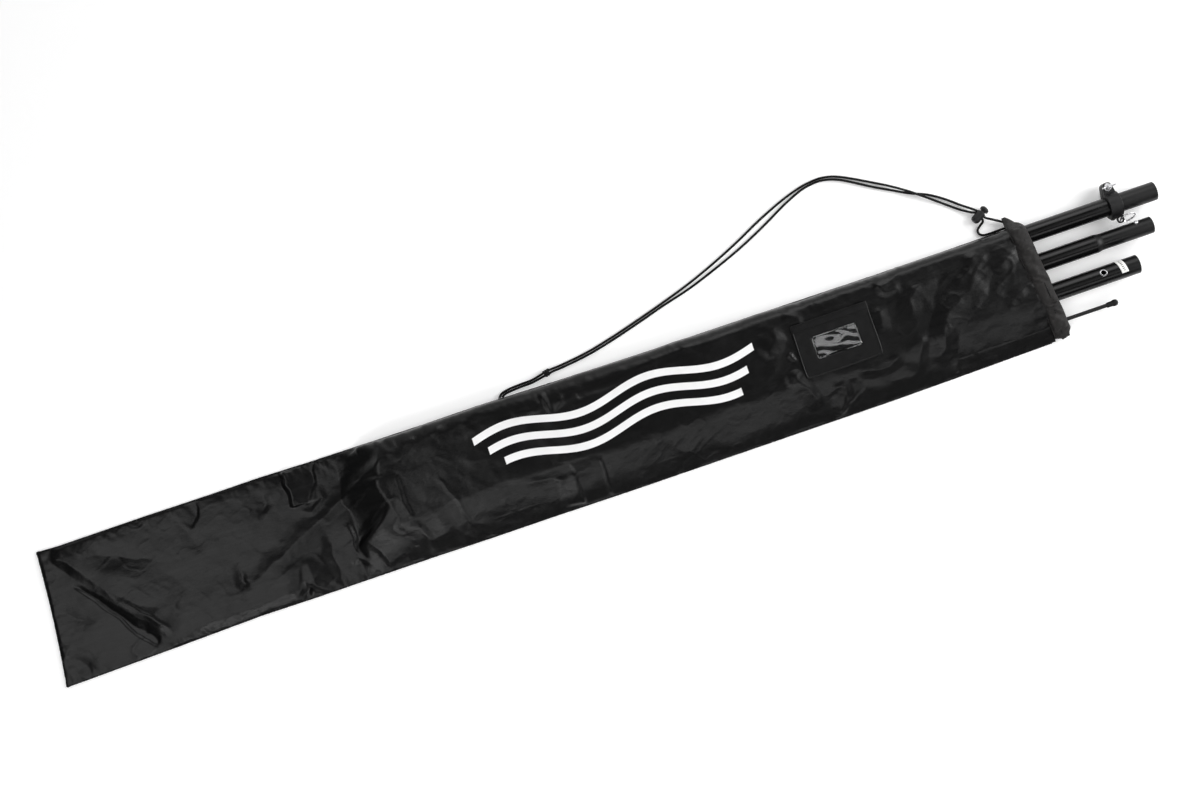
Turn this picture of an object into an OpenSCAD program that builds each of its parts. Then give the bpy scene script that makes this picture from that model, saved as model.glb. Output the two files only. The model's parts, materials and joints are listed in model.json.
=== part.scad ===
// Three pole sections and a tip rod for a feather banner, in a nylon drawstring bag.
// X runs along the bag from its closed end to the poles' outer ends, Y across it, Z up.
// Positions in the Hidden section are measured from the closed end of the bag; every piece
// is then shifted so that the origin lies under the middle of the bag and poles.

/* [Poles] */
// Outside diameter of the pole tubes
pole_d = 25; // [24:0.5:26]
// Wall thickness of the pole tubes
pole_wall = 1.4; // [1.2:0.1:1.8]
// Length of the base and middle poles
pole_len = 1075; // [1060:5:1080]
// Length of the top pole
top_pole_len = 1025; // [1010:5:1030]
// Depth of the reamed socket in a plain pole end
socket_depth = 60; // [55:1:70]
// Length of the reduced end that enters a socket
spigot_len = 71; // [66:1:80]
// Distance from a spigot's shoulder to its snap button
button_setback = 50; // [45:1:54]
// Diameter of the snap buttons
button_d = 6; // [5:0.5:7]

/* [Tip rod] */
// Diameter of the fibreglass rod
rod_d = 5.2; // [4.5:0.1:6]
// Diameter of its end cap and ferrule
ferrule_d = 9; // [8.4:0.1:9]

/* [Bag] */
// Thickness of the nylon panels
fabric_t = 0.8; // [0.6:0.1:0.9]
// Height of the loose fabric in the empty end
slack_h = 7; // [6:0.5:10]
// Width of the drawstring hem
hem_w = 25; // [22:0.5:26]
// Diameter of the drawstring
cord_d = 3.2; // [3:0.1:3.2]

/* [Clamp] */
// Width of the clamp band along the pole
band_w = 17; // [15:0.5:18]
// Thickness of the clamp band
band_t = 4.4; // [3.6:0.1:4.6]
// Mean radius of the tether ring
ring_r = 10; // [9:0.5:10.5]

/* [Hidden] */
$fn = 48;

// Where the poles lie: across the bag, above the ground, and their outer ends
pole_z = 17.6;
base_y = 66;
middle_y = 25;
top_y = -18;
base_end = 1560;
middle_end = 1542;
top_end = 1508;
rod_y = -57;
rod_z = 9.6;
rod_start = 490;
rod_end = 1466;

pole_r = pole_d / 2;
bore_r = pole_r - pole_wall;
socket_r = bore_r + 0.25;
spigot_r = socket_r - 0.15;
spigot_bore_r = spigot_r - pole_wall;
base_start = base_end - pole_len;
middle_start = middle_end - pole_len;
top_start = top_end - top_pole_len;
swage_len = 8;

// Snap buttons: place along the pole and the way each one points, from +Y towards +Z
button_r = button_d / 2;
button_out = 3;
button_travel = 3.4;
base_button_x = base_start + spigot_len - button_setback;
base_button_angle = 180;
middle_button_x = middle_end - spigot_len + button_setback;
middle_button_angle = 38;
top_hole_x = top_end - button_setback;
top_hole_angle = 72;
middle_hole_x = middle_start + button_setback;
leaf_t = 0.7;
leaf_w = 6;
leaf_len = 40;

// Bag outline
mouth_x = 1366;
empty_end_x = 330;
full_x = 455;
edge_top = 94;
edge_top_taper = 14;
edge_bottom = -83;
corner_flare = 4;
closed_slant = 0.11;
mouth_slant = -0.1;
cover_r = pole_r + 1.1;
hem_floor = 4.6;
hem_t = 4.4;
channel_r = cord_d / 2 + 0.15;

// Clamp
clamp_x = 1502;
ear_y = 24.5;
ear_r = 6.5;
ear_t = 4.3;
nut_ear_t = 11;
slot_half = 0.7;
bolt_r = 2.5;
lug_x = 4;
lug_y = -21.5;
lug_half_t = 2.5;
lug_hole_r = 3;
ring_wire_r = 1.1;
ring_tilt = 24;

// Cord lock
lock_x = 1335;
lock_y = 111;
lock_z = 6.3;
lock_turn = 29;
lock_r = 6;

// Middle of the bag and poles, which is put at the origin
origin_x = (closed_slant * (edge_bottom - corner_flare) + base_end) / 2;
origin_y = (edge_bottom - corner_flare + base_y + ear_y + ear_r) / 2;

// Drawstring routes: strand a from the seam to the lock, then its loop into the hem
strand_a = [
  [653.5, 89, 2.6], [657.5, 93, 2.2], [665.5, 95.5, 1.8], [685, 97, 1.7], [702, 97.5, 1.7],
  [714.5, 100, 3.4], [724, 102, 4.6], [733, 103, 3.4], [742, 103.5, 1.7], [780.5, 108, 1.7],
  [820.5, 116.5, 1.7], [860.5, 127, 1.7], [899.5, 138, 1.7], [940, 150.5, 1.7],
  [979, 165, 1.7], [1019, 182, 1.7], [1058, 200.5, 1.7], [1098, 216.5, 1.7],
  [1124, 224, 1.7], [1138, 226, 1.7], [1151, 226.5, 1.7], [1165, 224, 1.7],
  [1178, 219, 1.7], [1217, 197.5, 1.7], [1238, 184.5, 3.8], [1257, 171, 5.8],
  [1276, 156.5, 3.8], [1294.5, 142, 1.7], [1314, 126, 2.6], [1325, 118.5, 5.2],
  [1330.5, 115.5, 6.3]
];
strand_a_loop = [
  [1336.5, 105, 6.3], [1336, 101, 5.2], [1331.5, 97.5, 3.2], [1327, 93, 1.9],
  [1327, 88, 1.8], [1331, 84.5, 1.8], [1338, 83.5, 2], [1350, 83.5, 3], [1361, 83.5, 4]
];
// Strand b beside it, then straight from the lock to the peak of the hem
strand_b = [
  [657.5, 88.5, 2.6], [661, 91, 2.2], [667, 92, 1.8], [685, 93, 1.7], [702, 93.5, 1.7],
  [715.5, 96, 3.4], [724, 98, 4.6], [733.5, 99.5, 3.4], [742, 100, 1.7], [781.5, 104, 1.7],
  [821.5, 112.5, 1.7], [861.5, 123, 1.7], [900.5, 134, 1.7], [940, 144.5, 1.7],
  [979, 157.5, 1.7], [1019, 172.5, 1.7], [1058, 190, 1.7], [1098, 210, 1.7],
  [1124, 219.5, 1.7], [1138, 222, 1.7], [1150, 222.5, 1.7], [1163, 220, 1.7],
  [1176, 215, 1.7], [1217, 191, 1.7], [1238, 179.5, 1.7], [1258, 168.5, 1.7],
  [1278, 160, 1.7], [1297.5, 147.5, 1.7], [1318, 130.5, 2.6], [1329, 121.5, 5.2],
  [1333.5, 117, 6.3]
];
strand_b_end = [[1339.5, 106.5, 6.3], [1350, 99.5, 5.6], [1361, 92.5, 4.8]];
// The run inside the hem, from the peak over the poles and back under them
hem_run = [
  [1361, 92.5, 4.8], [1366, 88, 6.5], [1370, 83.4, 11], [1370.4, 81.8, 17.6],
  [1370.6, 78.4, 27], [1371.3, 70, 32.8], [1374.5, 40, 33.2], [1378.5, 0, 33.2],
  [1380.6, -20, 33.3], [1381.8, -31, 26.9], [1383.2, -46, 21.9], [1384.4, -58, 17.8],
  [1386, -75, 9.6], [1386.6, -80, 5.6], [1386, -75.5, 2.4], [1383.5, -50, 2.4],
  [1378.5, 0, 2.4], [1373.5, 50, 2.4], [1371.4, 74, 2.4], [1368, 81, 3], [1361, 83.5, 4]
];

function unit(v) = v / norm(v);
function mix(a, b, t) = a * (1 - t) + b * t;
function clamp01(t) = min(1, max(0, t));
function smooth(t) = clamp01(t) * clamp01(t) * (3 - 2 * clamp01(t));

// Bag edges and how full the bag is, along its length
function top_edge(x) = edge_top - edge_top_taper * clamp01(x / 1200);
function bottom_edge(x) = edge_bottom - corner_flare * clamp01(1 - x / 250);
function slant(x) = mix(closed_slant, mouth_slant, x / mouth_x);
function fullness(x) = smooth((x - empty_end_x) / (full_x - empty_end_x));

// Inside of the filled bag's cover as [y, z, normal y, normal z], from its +Y foot
// over the poles and down to its -Y edge
function arc_over(cy, a) =
  [cy + cover_r * cos(a), pole_z + cover_r * sin(a), cos(a), sin(a)];
cover_top = pole_z + cover_r;
cover_side = base_y + cover_r;
cover = concat(
  [[cover_side + 0.2, 8, 1, 0]],
  [for (a = [-15, 10, 35, 60, 80]) arc_over(base_y, a)],
  [for (y = [56, 46, 36, 25, 14, 4, -8]) [y, cover_top - (y % 25 == 0 ? 0 : 0.2), 0, 1]],
  [for (a = [95, 115, 135, 150]) arc_over(top_y, a)],
  [[-44, 20.2, -0.28, 0.96], [-57, 16.2, -0.35, 0.94], [-68, 11, -0.5, 0.87]]
);

// The same count of points where the bag is empty: a low flat cushion of slack
function slack_point(x, v) =
  let (y = mix(top_edge(x), bottom_edge(x), v))
  [y, fabric_t + slack_h * smooth(x / 40) * pow(sin(180 * v), 0.5), 0, 1];

// One cross-section of the cover's inside at a distance x along the bag
function cover_section(x) =
  let (w = fullness(x), n = len(cover) + 1)
  concat(
    [[top_edge(x), fabric_t, 0.3, 0.95]],
    [for (i = [0:len(cover) - 1])
      mix(slack_point(x, (i + 1) / n), [cover[i][0], cover[i][1], cover[i][2], cover[i][3]], w)],
    [[bottom_edge(x), fabric_t, -0.3, 0.95]]
  );
function placed(x, p, out) =
  let (y = p[0] + p[2] * out, z = p[1] + p[3] * out) [x + slant(x) * y, y, z];

stations = concat(
  [0, 12, 28, 60], [for (x = [120:70:330]) x], [355, 380, 405, 430, 455],
  [for (x = [500:124:1244]) x], [1310, mouth_x]
);

// Closed skin between two grids of points with rows along X
module skin(outer, inner) {
  rows = len(outer);
  cols = len(outer[0]);
  base = rows * cols;
  quads = concat(
    [for (s = [0:rows - 2]) for (p = [0:cols - 2])
      [s * cols + p, (s + 1) * cols + p, (s + 1) * cols + p + 1, s * cols + p + 1]],
    [for (s = [0:rows - 2]) for (p = [0:cols - 2])
      [base + s * cols + p, base + s * cols + p + 1,
       base + (s + 1) * cols + p + 1, base + (s + 1) * cols + p]],
    [for (s = [0:rows - 2])
      [s * cols, base + s * cols, base + (s + 1) * cols, (s + 1) * cols]],
    [for (s = [0:rows - 2])
      let (p = cols - 1)
      [s * cols + p, (s + 1) * cols + p, base + (s + 1) * cols + p, base + s * cols + p]],
    [for (p = [0:cols - 2]) [p, p + 1, base + p + 1, base + p]],
    [for (p = [0:cols - 2])
      let (s = (rows - 1) * cols)
      [s + p + 1, s + p, base + s + p, base + s + p + 1]]
  );
  tris = [for (q = quads) each [[q[0], q[1], q[2]], [q[0], q[2], q[3]]]];
  polyhedron([for (r = outer) each r, for (r = inner) each r], tris);
}

// Closed tube that follows a route; up is any direction never parallel to it
module tube(route, r, up = [0, 0, 1], sides = 8) {
  last = len(route) - 1;
  rings = [for (i = [0:last])
    let (t = unit(route[min(i + 1, last)] - route[max(i - 1, 0)]),
         u = unit(cross(up, t)), w = cross(t, u))
    [for (j = [0:sides - 1])
      route[i] + r * (cos(360 * j / sides) * u + sin(360 * j / sides) * w)]];
  walls = [for (i = [0:last - 1]) for (j = [0:sides - 1])
    let (k = (j + 1) % sides)
    [i * sides + j, (i + 1) * sides + j, (i + 1) * sides + k, i * sides + k]];
  tris = [for (q = walls) each [[q[0], q[1], q[2]], [q[0], q[2], q[3]]]];
  ends = [[for (j = [0:sides - 1]) j], [for (j = [sides - 1:-1:0]) last * sides + j]];
  polyhedron([for (ring = rings) each ring], concat(tris, ends));
}

// Pieces are drawn in bag coordinates; this puts them on the origin
module on_origin() {
  translate([-origin_x, -origin_y, 0]) children();
}

// A solid of revolution about the line of a pole, from [radius, x] points
module turned(y, z, profile) {
  translate([0, y, z]) rotate([90, 0, 90]) rotate_extrude($fn = 64) polygon(profile);
}

// A frame with +Z pointing out of a pole at the given place and angle
module radial(x, y, angle) {
  translate([x, y, pole_z]) rotate([angle - 90, 0, 0]) children();
}

module bag_front_panel() {
  on_origin() color([0.05, 0.05, 0.06])
    skin(
      [for (x = stations) [for (p = cover_section(x)) placed(x, p, fabric_t)]],
      [for (x = stations) [for (p = cover_section(x)) placed(x, p, 0)]]
    );
}

module bag_back_panel() {
  outline = concat(
    [for (x = stations) [x + slant(x) * top_edge(x), top_edge(x)]],
    [for (i = [len(stations) - 1:-1:0])
      let (x = stations[i]) [x + slant(x) * bottom_edge(x), bottom_edge(x)]]
  );
  on_origin() color([0.05, 0.05, 0.06]) linear_extrude(fabric_t) polygon(outline);
}

// The folded hem round the mouth, thick in the middle where the drawstring runs
hem_loop = concat(
  [[cover_side, 7, 1, 0]],
  [for (a = [-15, 10, 35, 60, 80]) arc_over(base_y, a)],
  [[40, cover_top - 0.2, 0, 1], [4, cover_top - 0.2, 0, 1]],
  [for (a = [95, 125, 150]) arc_over(top_y, a)],
  [[-44, 20.2, -0.28, 0.96], [-57, 16.2, -0.35, 0.94], [-68, 11, -0.5, 0.87],
   [-77, 6, -0.9, 0.44], [-74, hem_floor, -0.3, -0.95]],
  [for (y = [-50, -10, 30, 66]) [y, hem_floor, 0, -1]],
  [[cover_side - 1.5, hem_floor + 0.3, 0.6, -0.8]]
);
hem_profile = [
  [0, 0], [hem_w, 0], [hem_w, 1.4], [hem_w * 0.7, hem_t], [hem_w * 0.3, hem_t], [0, 1]
];

module hem_band() {
  n = len(hem_loop);
  m = len(hem_profile);
  points = [for (p = hem_loop) for (q = hem_profile)
    let (y = p[0] + p[2] * q[1], z = p[1] + p[3] * q[1])
    [mouth_x + mouth_slant * p[0] + q[0], y, z]];
  quads = [for (i = [0:n - 1]) for (k = [0:m - 1])
    let (a = i * m, b = ((i + 1) % n) * m, l = (k + 1) % m) [a + k, b + k, b + l, a + l]];
  polyhedron(points, [for (q = quads) each [[q[0], q[1], q[2]], [q[0], q[2], q[3]]]]);
}

// Corner of the hem that the drawstring pulls out to a peak
module hem_peak() {
  hull() {
    translate([1361, cover_side + 0.6, 1.4]) cube([17, 2.4, 11]);
    translate([1361, 94.5, 2.4]) cube([4, 1.8, 4.8]);
  }
}

module mouth_hem() {
  on_origin() color([0.16, 0.15, 0.15]) difference() {
    union() {
      hem_band();
      hem_peak();
    }
    tube(hem_run, channel_r, [1, 0.05, 0.02]);
  }
}

// Card pocket on the front: backing, frame with its opening, and the clear film between
pocket_x = 1047;
pocket_y = -20;
pocket_l = 104;
pocket_h = 72;
pocket_z = cover_top + fabric_t + 0.1;
window_x = 19;
window_y = 20;
window_l = 64;
window_h = 32;
film_margin = 4;

module id_pocket_backing() {
  on_origin() color([0.08, 0.08, 0.09])
    translate([pocket_x, pocket_y, pocket_z]) cube([pocket_l, pocket_h, 0.6]);
}

module id_pocket_window() {
  on_origin() color([0.7, 0.75, 0.78, 0.5])
    translate([pocket_x + window_x - film_margin, pocket_y + window_y - film_margin,
               pocket_z + 0.7])
      cube([window_l + 2 * film_margin, window_h + 2 * film_margin, 0.3]);
}

module id_pocket_frame() {
  on_origin() color([0.06, 0.06, 0.07])
    translate([pocket_x, pocket_y, pocket_z + 0.6]) difference() {
      cube([pocket_l, pocket_h, 1.1]);
      translate([window_x, window_y, -1]) cube([window_l, window_h, 3]);
      translate([window_x - film_margin - 0.1, window_y - film_margin - 0.1, -1])
        cube([window_l + 2 * film_margin + 0.2, window_h + 2 * film_margin + 0.2, 1.5]);
    }
}

module strap_anchor_tab() {
  on_origin() color([0.1, 0.1, 0.1]) translate([655, 84.6, fabric_t + 1]) rotate([0, 0, -42])
    translate([-5, -6, 0]) cube([10, 8, 3.4]);
}

module strap_knot() {
  on_origin() color([0.09, 0.09, 0.09]) translate([724, 100, 5.1]) {
    rotate([90, 0, 12]) rotate_extrude() translate([2.4, 0]) circle(r = 2.4);
    rotate([0, 90, 12]) cylinder(r = 4.2, h = 7, center = true);
  }
}

module drawcord_strand_a() {
  on_origin() color([0.08, 0.08, 0.08]) {
    tube(strand_a, cord_d / 2);
    tube(strand_a_loop, cord_d / 2);
  }
}

module drawcord_strand_b() {
  on_origin() color([0.08, 0.08, 0.08]) {
    tube(strand_b, cord_d / 2);
    tube(strand_b_end, cord_d / 2);
  }
}

module drawcord_hem_run() {
  on_origin() color([0.08, 0.08, 0.08]) tube(hem_run, cord_d / 2, [1, 0.05, 0.02]);
}

// Cord lock: a barrel, closed below, with a sprung plunger along its long axis
lock_bottom = -12;
lock_top = 4;
plunger_r = 3.8;
plunger_gap = 3.4;
plunger_foot = -5.6;
cord_slot_l = 7.2;
cord_slot_w = 3.8;
lock_travel = 3;

module lock_axes() {
  translate([lock_x, lock_y, lock_z]) rotate([90, 0, lock_turn + 90]) children();
}

module cord_slot(extra) {
  translate([0, -cord_slot_w / 2 - extra, -cord_slot_l / 2 - extra])
    translate([-10, 0, 0]) cube([20, cord_slot_w + 2 * extra, cord_slot_l + 2 * extra]);
}

module cord_lock_barrel() {
  on_origin() color([0.14, 0.14, 0.14]) lock_axes() difference() {
    union() {
      translate([0, 0, lock_bottom + 3]) cylinder(r = lock_r, h = lock_top - lock_bottom - 3);
      translate([0, 0, lock_bottom]) cylinder(r1 = lock_r - 2, r2 = lock_r, h = 3);
    }
    translate([0, 0, lock_bottom + 1.6]) cylinder(r = plunger_r + 0.1, h = 20);
    cord_slot(0);
  }
}

module cord_lock_plunger() {
  on_origin() color([0.14, 0.14, 0.14]) lock_axes() difference() {
    union() {
      translate([0, 0, plunger_foot]) cylinder(r = plunger_r, h = lock_top + 4 - plunger_foot);
      translate([0, 0, lock_top + plunger_gap]) cylinder(r = lock_r, h = 3);
      translate([0, 0, lock_top + plunger_gap + 3]) cylinder(r1 = lock_r, r2 = 4, h = 2);
    }
    translate([0, 0, lock_travel / 2]) cord_slot(0.3);
  }
}

module cord_lock_spring() {
  coils = 4;
  pitch = 1.1;
  on_origin() color([0.7, 0.7, 0.72]) lock_axes()
    for (i = [0:coils - 1])
      translate([0, 0, lock_bottom + 2.2 + i * pitch]) rotate_extrude($fn = 32)
        translate([2.6, 0]) circle(r = 0.45, $fn = 16);
}

// A plain tube with a socket at its mouth and a spigot at the other end; dir is +1 when the
// mouth is at the greater x
function tube_profile(start, end, mouth_at_end) =
  let (m = mouth_at_end ? end : start, d = mouth_at_end ? -1 : 1, s = mouth_at_end ? start : end)
  [
    [socket_r, m], [pole_r, m], [pole_r, s - d * (spigot_len + swage_len)],
    [spigot_r, s - d * spigot_len], [spigot_r, s], [spigot_bore_r, s],
    [spigot_bore_r, s - d * spigot_len], [bore_r, s - d * (spigot_len + swage_len)],
    [bore_r, m + d * socket_depth], [socket_r, m + d * socket_depth]
  ];

module button_hole(x, y, angle) {
  radial(x, y, angle) cylinder(r = button_r + 0.25, h = pole_r + 5);
}

module snap_button(x, y, angle) {
  stem_top = spigot_r + button_out - 1.4;
  radial(x, y, angle) {
    rotate_extrude($fn = 32) polygon([
      [0, 6.6], [button_r + 1, 6.6], [button_r + 1, 7.6], [button_r, 7.6],
      [button_r, stem_top], [button_r * 0.8, stem_top + 0.9], [button_r * 0.45, stem_top + 1.3],
      [0, stem_top + 1.4]
    ]);
  }
}

// Bent leaf spring that pushes a snap button outwards; way is the direction of its bend
module button_spring(x, y, angle, way) {
  top = 6.5;
  bottom = -spigot_bore_r + 0.9;
  bend_r = (top - bottom) / 2;
  radial(x, y, angle) rotate([90, 0, 0]) translate([0, 0, -leaf_w / 2])
    linear_extrude(leaf_w) scale([way, 1]) {
      translate([-5, top - leaf_t]) square([leaf_len + 5, leaf_t]);
      translate([4, bottom]) square([leaf_len - 4, leaf_t]);
      translate([leaf_len, bottom + bend_r]) intersection() {
        difference() {
          circle(r = bend_r);
          circle(r = bend_r - leaf_t);
        }
        translate([0, -bend_r]) square([bend_r, 2 * bend_r]);
      }
    }
}

module base_pole_tube() {
  on_origin() color([0.06, 0.06, 0.06]) difference() {
    turned(base_y, pole_z, tube_profile(base_start, base_end, true));
    button_hole(base_button_x, base_y, base_button_angle);
  }
}

module base_snap_button() {
  on_origin() color([0.8, 0.8, 0.82]) snap_button(base_button_x, base_y, base_button_angle);
}

module base_button_spring() {
  on_origin() color([0.7, 0.7, 0.72])
    button_spring(base_button_x, base_y, base_button_angle, 1);
}

module middle_pole_tube() {
  on_origin() color([0.06, 0.06, 0.06]) difference() {
    turned(middle_y, pole_z, tube_profile(middle_start, middle_end, false));
    button_hole(middle_button_x, middle_y, middle_button_angle);
    button_hole(middle_hole_x, middle_y, base_button_angle);
  }
}

module middle_snap_button() {
  on_origin() color([0.8, 0.8, 0.82])
    snap_button(middle_button_x, middle_y, middle_button_angle);
}

module middle_button_spring() {
  on_origin() color([0.7, 0.7, 0.72])
    button_spring(middle_button_x, middle_y, middle_button_angle, -1);
}

bush_len = 40;
bush_r = bore_r - 0.02;
top_hole_r = button_r + 0.25;
eyelet_r = 5;

module top_pole_tube() {
  on_origin() color([0.06, 0.06, 0.06]) difference() {
    turned(top_y, pole_z, [
      [bore_r, top_start], [pole_r, top_start], [pole_r, top_end], [socket_r, top_end],
      [socket_r, top_end - socket_depth], [bore_r, top_end - socket_depth]
    ]);
    button_hole(top_hole_x, top_y, top_hole_angle);
  }
}

module top_pole_eyelet() {
  on_origin() color([0.75, 0.75, 0.77]) intersection() {
    turned(top_y, pole_z, [
      [pole_r, top_hole_x - 8], [pole_r + 0.5, top_hole_x - 8],
      [pole_r + 0.5, top_hole_x + 8], [pole_r, top_hole_x + 8]
    ]);
    radial(top_hole_x, top_y, top_hole_angle) difference() {
      cylinder(r = eyelet_r, h = pole_r + 5);
      translate([0, 0, -1]) cylinder(r = top_hole_r, h = pole_r + 8);
    }
  }
}

label_x = 1481;
label_l = 9.5;

module top_pole_label() {
  on_origin() color([0.9, 0.9, 0.9]) intersection() {
    turned(top_y, pole_z, [
      [pole_r + 0.01, label_x], [pole_r + 0.2, label_x], [pole_r + 0.2, label_x + label_l],
      [pole_r + 0.01, label_x + label_l]
    ]);
    translate([label_x - 1, top_y - 5.1, pole_z]) cube([label_l + 2, pole_d + 2, pole_d]);
  }
}

module rod_socket_bush() {
  on_origin() color([0.12, 0.12, 0.12]) turned(top_y, pole_z, [
    [ferrule_d / 2 + 0.1, top_start - 2], [pole_r, top_start - 2], [pole_r, top_start],
    [bush_r, top_start], [bush_r, top_start + bush_len],
    [ferrule_d / 2 + 0.1, top_start + bush_len]
  ]);
}

ferrule_len = 45;
cap_len = 16;

module tip_rod() {
  on_origin() color([0.1, 0.1, 0.1]) turned(rod_y, rod_z, [
    [0, rod_start + 2], [rod_d / 2, rod_start + 2], [rod_d / 2, rod_end], [0, rod_end]
  ]);
}

module tip_rod_ferrule() {
  on_origin() color([0.7, 0.7, 0.72]) turned(rod_y, rod_z, [
    [0, rod_start], [ferrule_d / 2 - 0.5, rod_start], [ferrule_d / 2, rod_start + 0.5],
    [ferrule_d / 2, rod_start + ferrule_len], [rod_d / 2 + 0.02, rod_start + ferrule_len],
    [rod_d / 2 + 0.02, rod_start + 1.9], [0, rod_start + 1.9]
  ]);
}

module tip_rod_cap() {
  start = rod_end - cap_len + 4;
  grip = rod_d / 2 + 0.02;
  on_origin() color([0.1, 0.1, 0.1]) turned(rod_y, rod_z, [
    [grip, start], [grip + 0.7, start], [grip + 1.3, start + 8], [ferrule_d / 2 - 0.2, start + 9],
    [ferrule_d / 2, start + 11], [ferrule_d / 2 - 0.2, start + 13], [grip, start + cap_len - 0.6],
    [0, start + cap_len], [0, rod_end + 0.02], [grip, rod_end + 0.02]
  ]);
}

band_bore_r = pole_r + 0.08;
band_r = band_bore_r + band_t;

module clamp_axes() {
  translate([clamp_x, base_y, pole_z]) children();
}

module ear(top_w, thick) {
  linear_extrude(thick) {
    polygon([[-top_w / 2, 13], [top_w / 2, 13], [ear_r, ear_y], [-ear_r, ear_y]]);
    translate([0, ear_y]) circle(r = ear_r);
  }
}

module clamp_band() {
  on_origin() color([0.07, 0.07, 0.07]) clamp_axes() difference() {
    union() {
      rotate([0, 90, 0]) cylinder(r = band_r, h = band_w, center = true, $fn = 64);
      translate([0, 0, slot_half]) ear(band_w, ear_t);
      translate([0, 0, -slot_half - nut_ear_t]) ear(band_w, nut_ear_t);
      translate([lug_x, lug_y, -lug_half_t]) cylinder(r = 4.7, h = 2 * lug_half_t);
      translate([lug_x - 4.7, lug_y, -lug_half_t]) cube([9.2, 9, 2 * lug_half_t]);
      translate([-5, -16.2, -lug_half_t]) cylinder(r = 3.5, h = 2 * lug_half_t);
    }
    rotate([0, 90, 0]) cylinder(r = band_bore_r, h = band_w + 2, center = true, $fn = 64);
    translate([-15, 10, -slot_half]) cube([30, 30, 2 * slot_half]);
    translate([0, ear_y, -20]) cylinder(r = bolt_r + 0.3, h = 40);
    translate([0, ear_y, -slot_half - nut_ear_t - 1]) cylinder(r = 4.8, h = 4.6, $fn = 6);
    translate([lug_x, lug_y, -5]) cylinder(r = lug_hole_r, h = 10);
  }
}

module clamp_bolt() {
  head_z = -slot_half - nut_ear_t;
  on_origin() color([0.75, 0.75, 0.77]) clamp_axes() translate([0, ear_y, 0]) {
    translate([0, 0, head_z]) cylinder(r = 4.6, h = 3.5, $fn = 6);
    translate([0, 0, head_z + 3.5]) cylinder(r = bolt_r, h = 14.5 - head_z - 3.5);
  }
}

module clamp_washer() {
  on_origin() color([0.78, 0.78, 0.8]) clamp_axes()
    translate([0, ear_y, slot_half + ear_t]) difference() {
      cylinder(r = 5, h = 0.8);
      translate([0, 0, -1]) cylinder(r = bolt_r + 0.06, h = 3);
    }
}

module clamp_wing_nut() {
  nut_z = slot_half + ear_t + 0.9;
  on_origin() color([0.8, 0.8, 0.82]) clamp_axes() translate([0, ear_y, nut_z])
    difference() {
      union() {
        cylinder(r1 = 4.6, r2 = 3.9, h = 5.6);
        for (side = [-1, 1])
          rotate([90, 0, 0]) translate([0, 0, -0.9]) linear_extrude(1.8) scale([side, 1]) {
            polygon([[3, 1.2], [5, 2.2], [10.2, 7.2], [8, 10.4], [3, 5.2]]);
            translate([8.4, 8.4]) circle(r = 2.1);
          }
      }
      translate([0, 0, -1]) cylinder(r = bolt_r + 0.06, h = 8);
    }
}

module tether_ring() {
  on_origin() color([0.8, 0.8, 0.82]) clamp_axes() translate([lug_x + ring_r, lug_y, 0])
    rotate([90 - ring_tilt, 0, 0]) rotate_extrude($fn = 48)
      translate([ring_r, 0]) circle(r = ring_wire_r, $fn = 24);
}

bag_front_panel();
bag_back_panel();
mouth_hem();
id_pocket_backing();
id_pocket_frame();
id_pocket_window();
strap_anchor_tab();
strap_knot();
drawcord_strand_a();
drawcord_strand_b();
drawcord_hem_run();
cord_lock_barrel();
cord_lock_plunger();
cord_lock_spring();
base_pole_tube();
base_snap_button();
base_button_spring();
clamp_band();
clamp_bolt();
clamp_washer();
clamp_wing_nut();
tether_ring();
middle_pole_tube();
middle_snap_button();
middle_button_spring();
top_pole_tube();
top_pole_eyelet();
top_pole_label();
rod_socket_bush();
tip_rod();
tip_rod_cap();
tip_rod_ferrule();
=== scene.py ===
"""Banner pole set in a drawstring carry bag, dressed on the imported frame."""
import json
import math

import bpy
import numpy as np
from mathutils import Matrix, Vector


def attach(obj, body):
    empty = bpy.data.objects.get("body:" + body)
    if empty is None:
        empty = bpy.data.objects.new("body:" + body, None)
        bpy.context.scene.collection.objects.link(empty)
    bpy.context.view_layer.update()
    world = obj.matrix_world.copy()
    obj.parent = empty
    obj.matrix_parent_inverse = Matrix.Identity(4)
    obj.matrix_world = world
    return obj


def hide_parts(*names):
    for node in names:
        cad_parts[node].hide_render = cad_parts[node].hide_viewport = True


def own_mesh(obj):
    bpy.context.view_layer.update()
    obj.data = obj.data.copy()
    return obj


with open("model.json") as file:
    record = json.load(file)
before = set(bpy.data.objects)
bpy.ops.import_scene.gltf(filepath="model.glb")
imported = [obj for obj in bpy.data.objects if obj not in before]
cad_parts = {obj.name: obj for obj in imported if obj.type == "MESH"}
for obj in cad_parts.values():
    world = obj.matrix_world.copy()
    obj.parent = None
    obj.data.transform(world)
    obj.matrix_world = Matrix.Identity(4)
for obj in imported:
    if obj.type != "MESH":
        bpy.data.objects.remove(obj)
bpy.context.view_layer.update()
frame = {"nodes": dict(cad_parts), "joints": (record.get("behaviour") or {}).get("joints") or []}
scene = bpy.context.scene
scene.view_settings.view_transform = "Standard"
MM = 0.001
ORIGIN = np.array([775.215, 5.0, 0.0])
TAU = 2 * math.pi


def row(points):
    """Bag millimetres to metres in the shared frame."""
    return (np.asarray(points, float) - ORIGIN) * MM


def place(name, data):
    obj = bpy.data.objects.new(name, data)
    scene.collection.objects.link(obj)
    return obj


# ---- camera, floor and light
camera = place("camera", bpy.data.cameras.new("camera"))
camera.location = (0.0038, 0.038, 2.168)
camera.rotation_euler = (0, 0, math.radians(-19))
camera.data.lens = 48.9
camera.data.sensor_width = 36
scene.camera = camera


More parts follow.
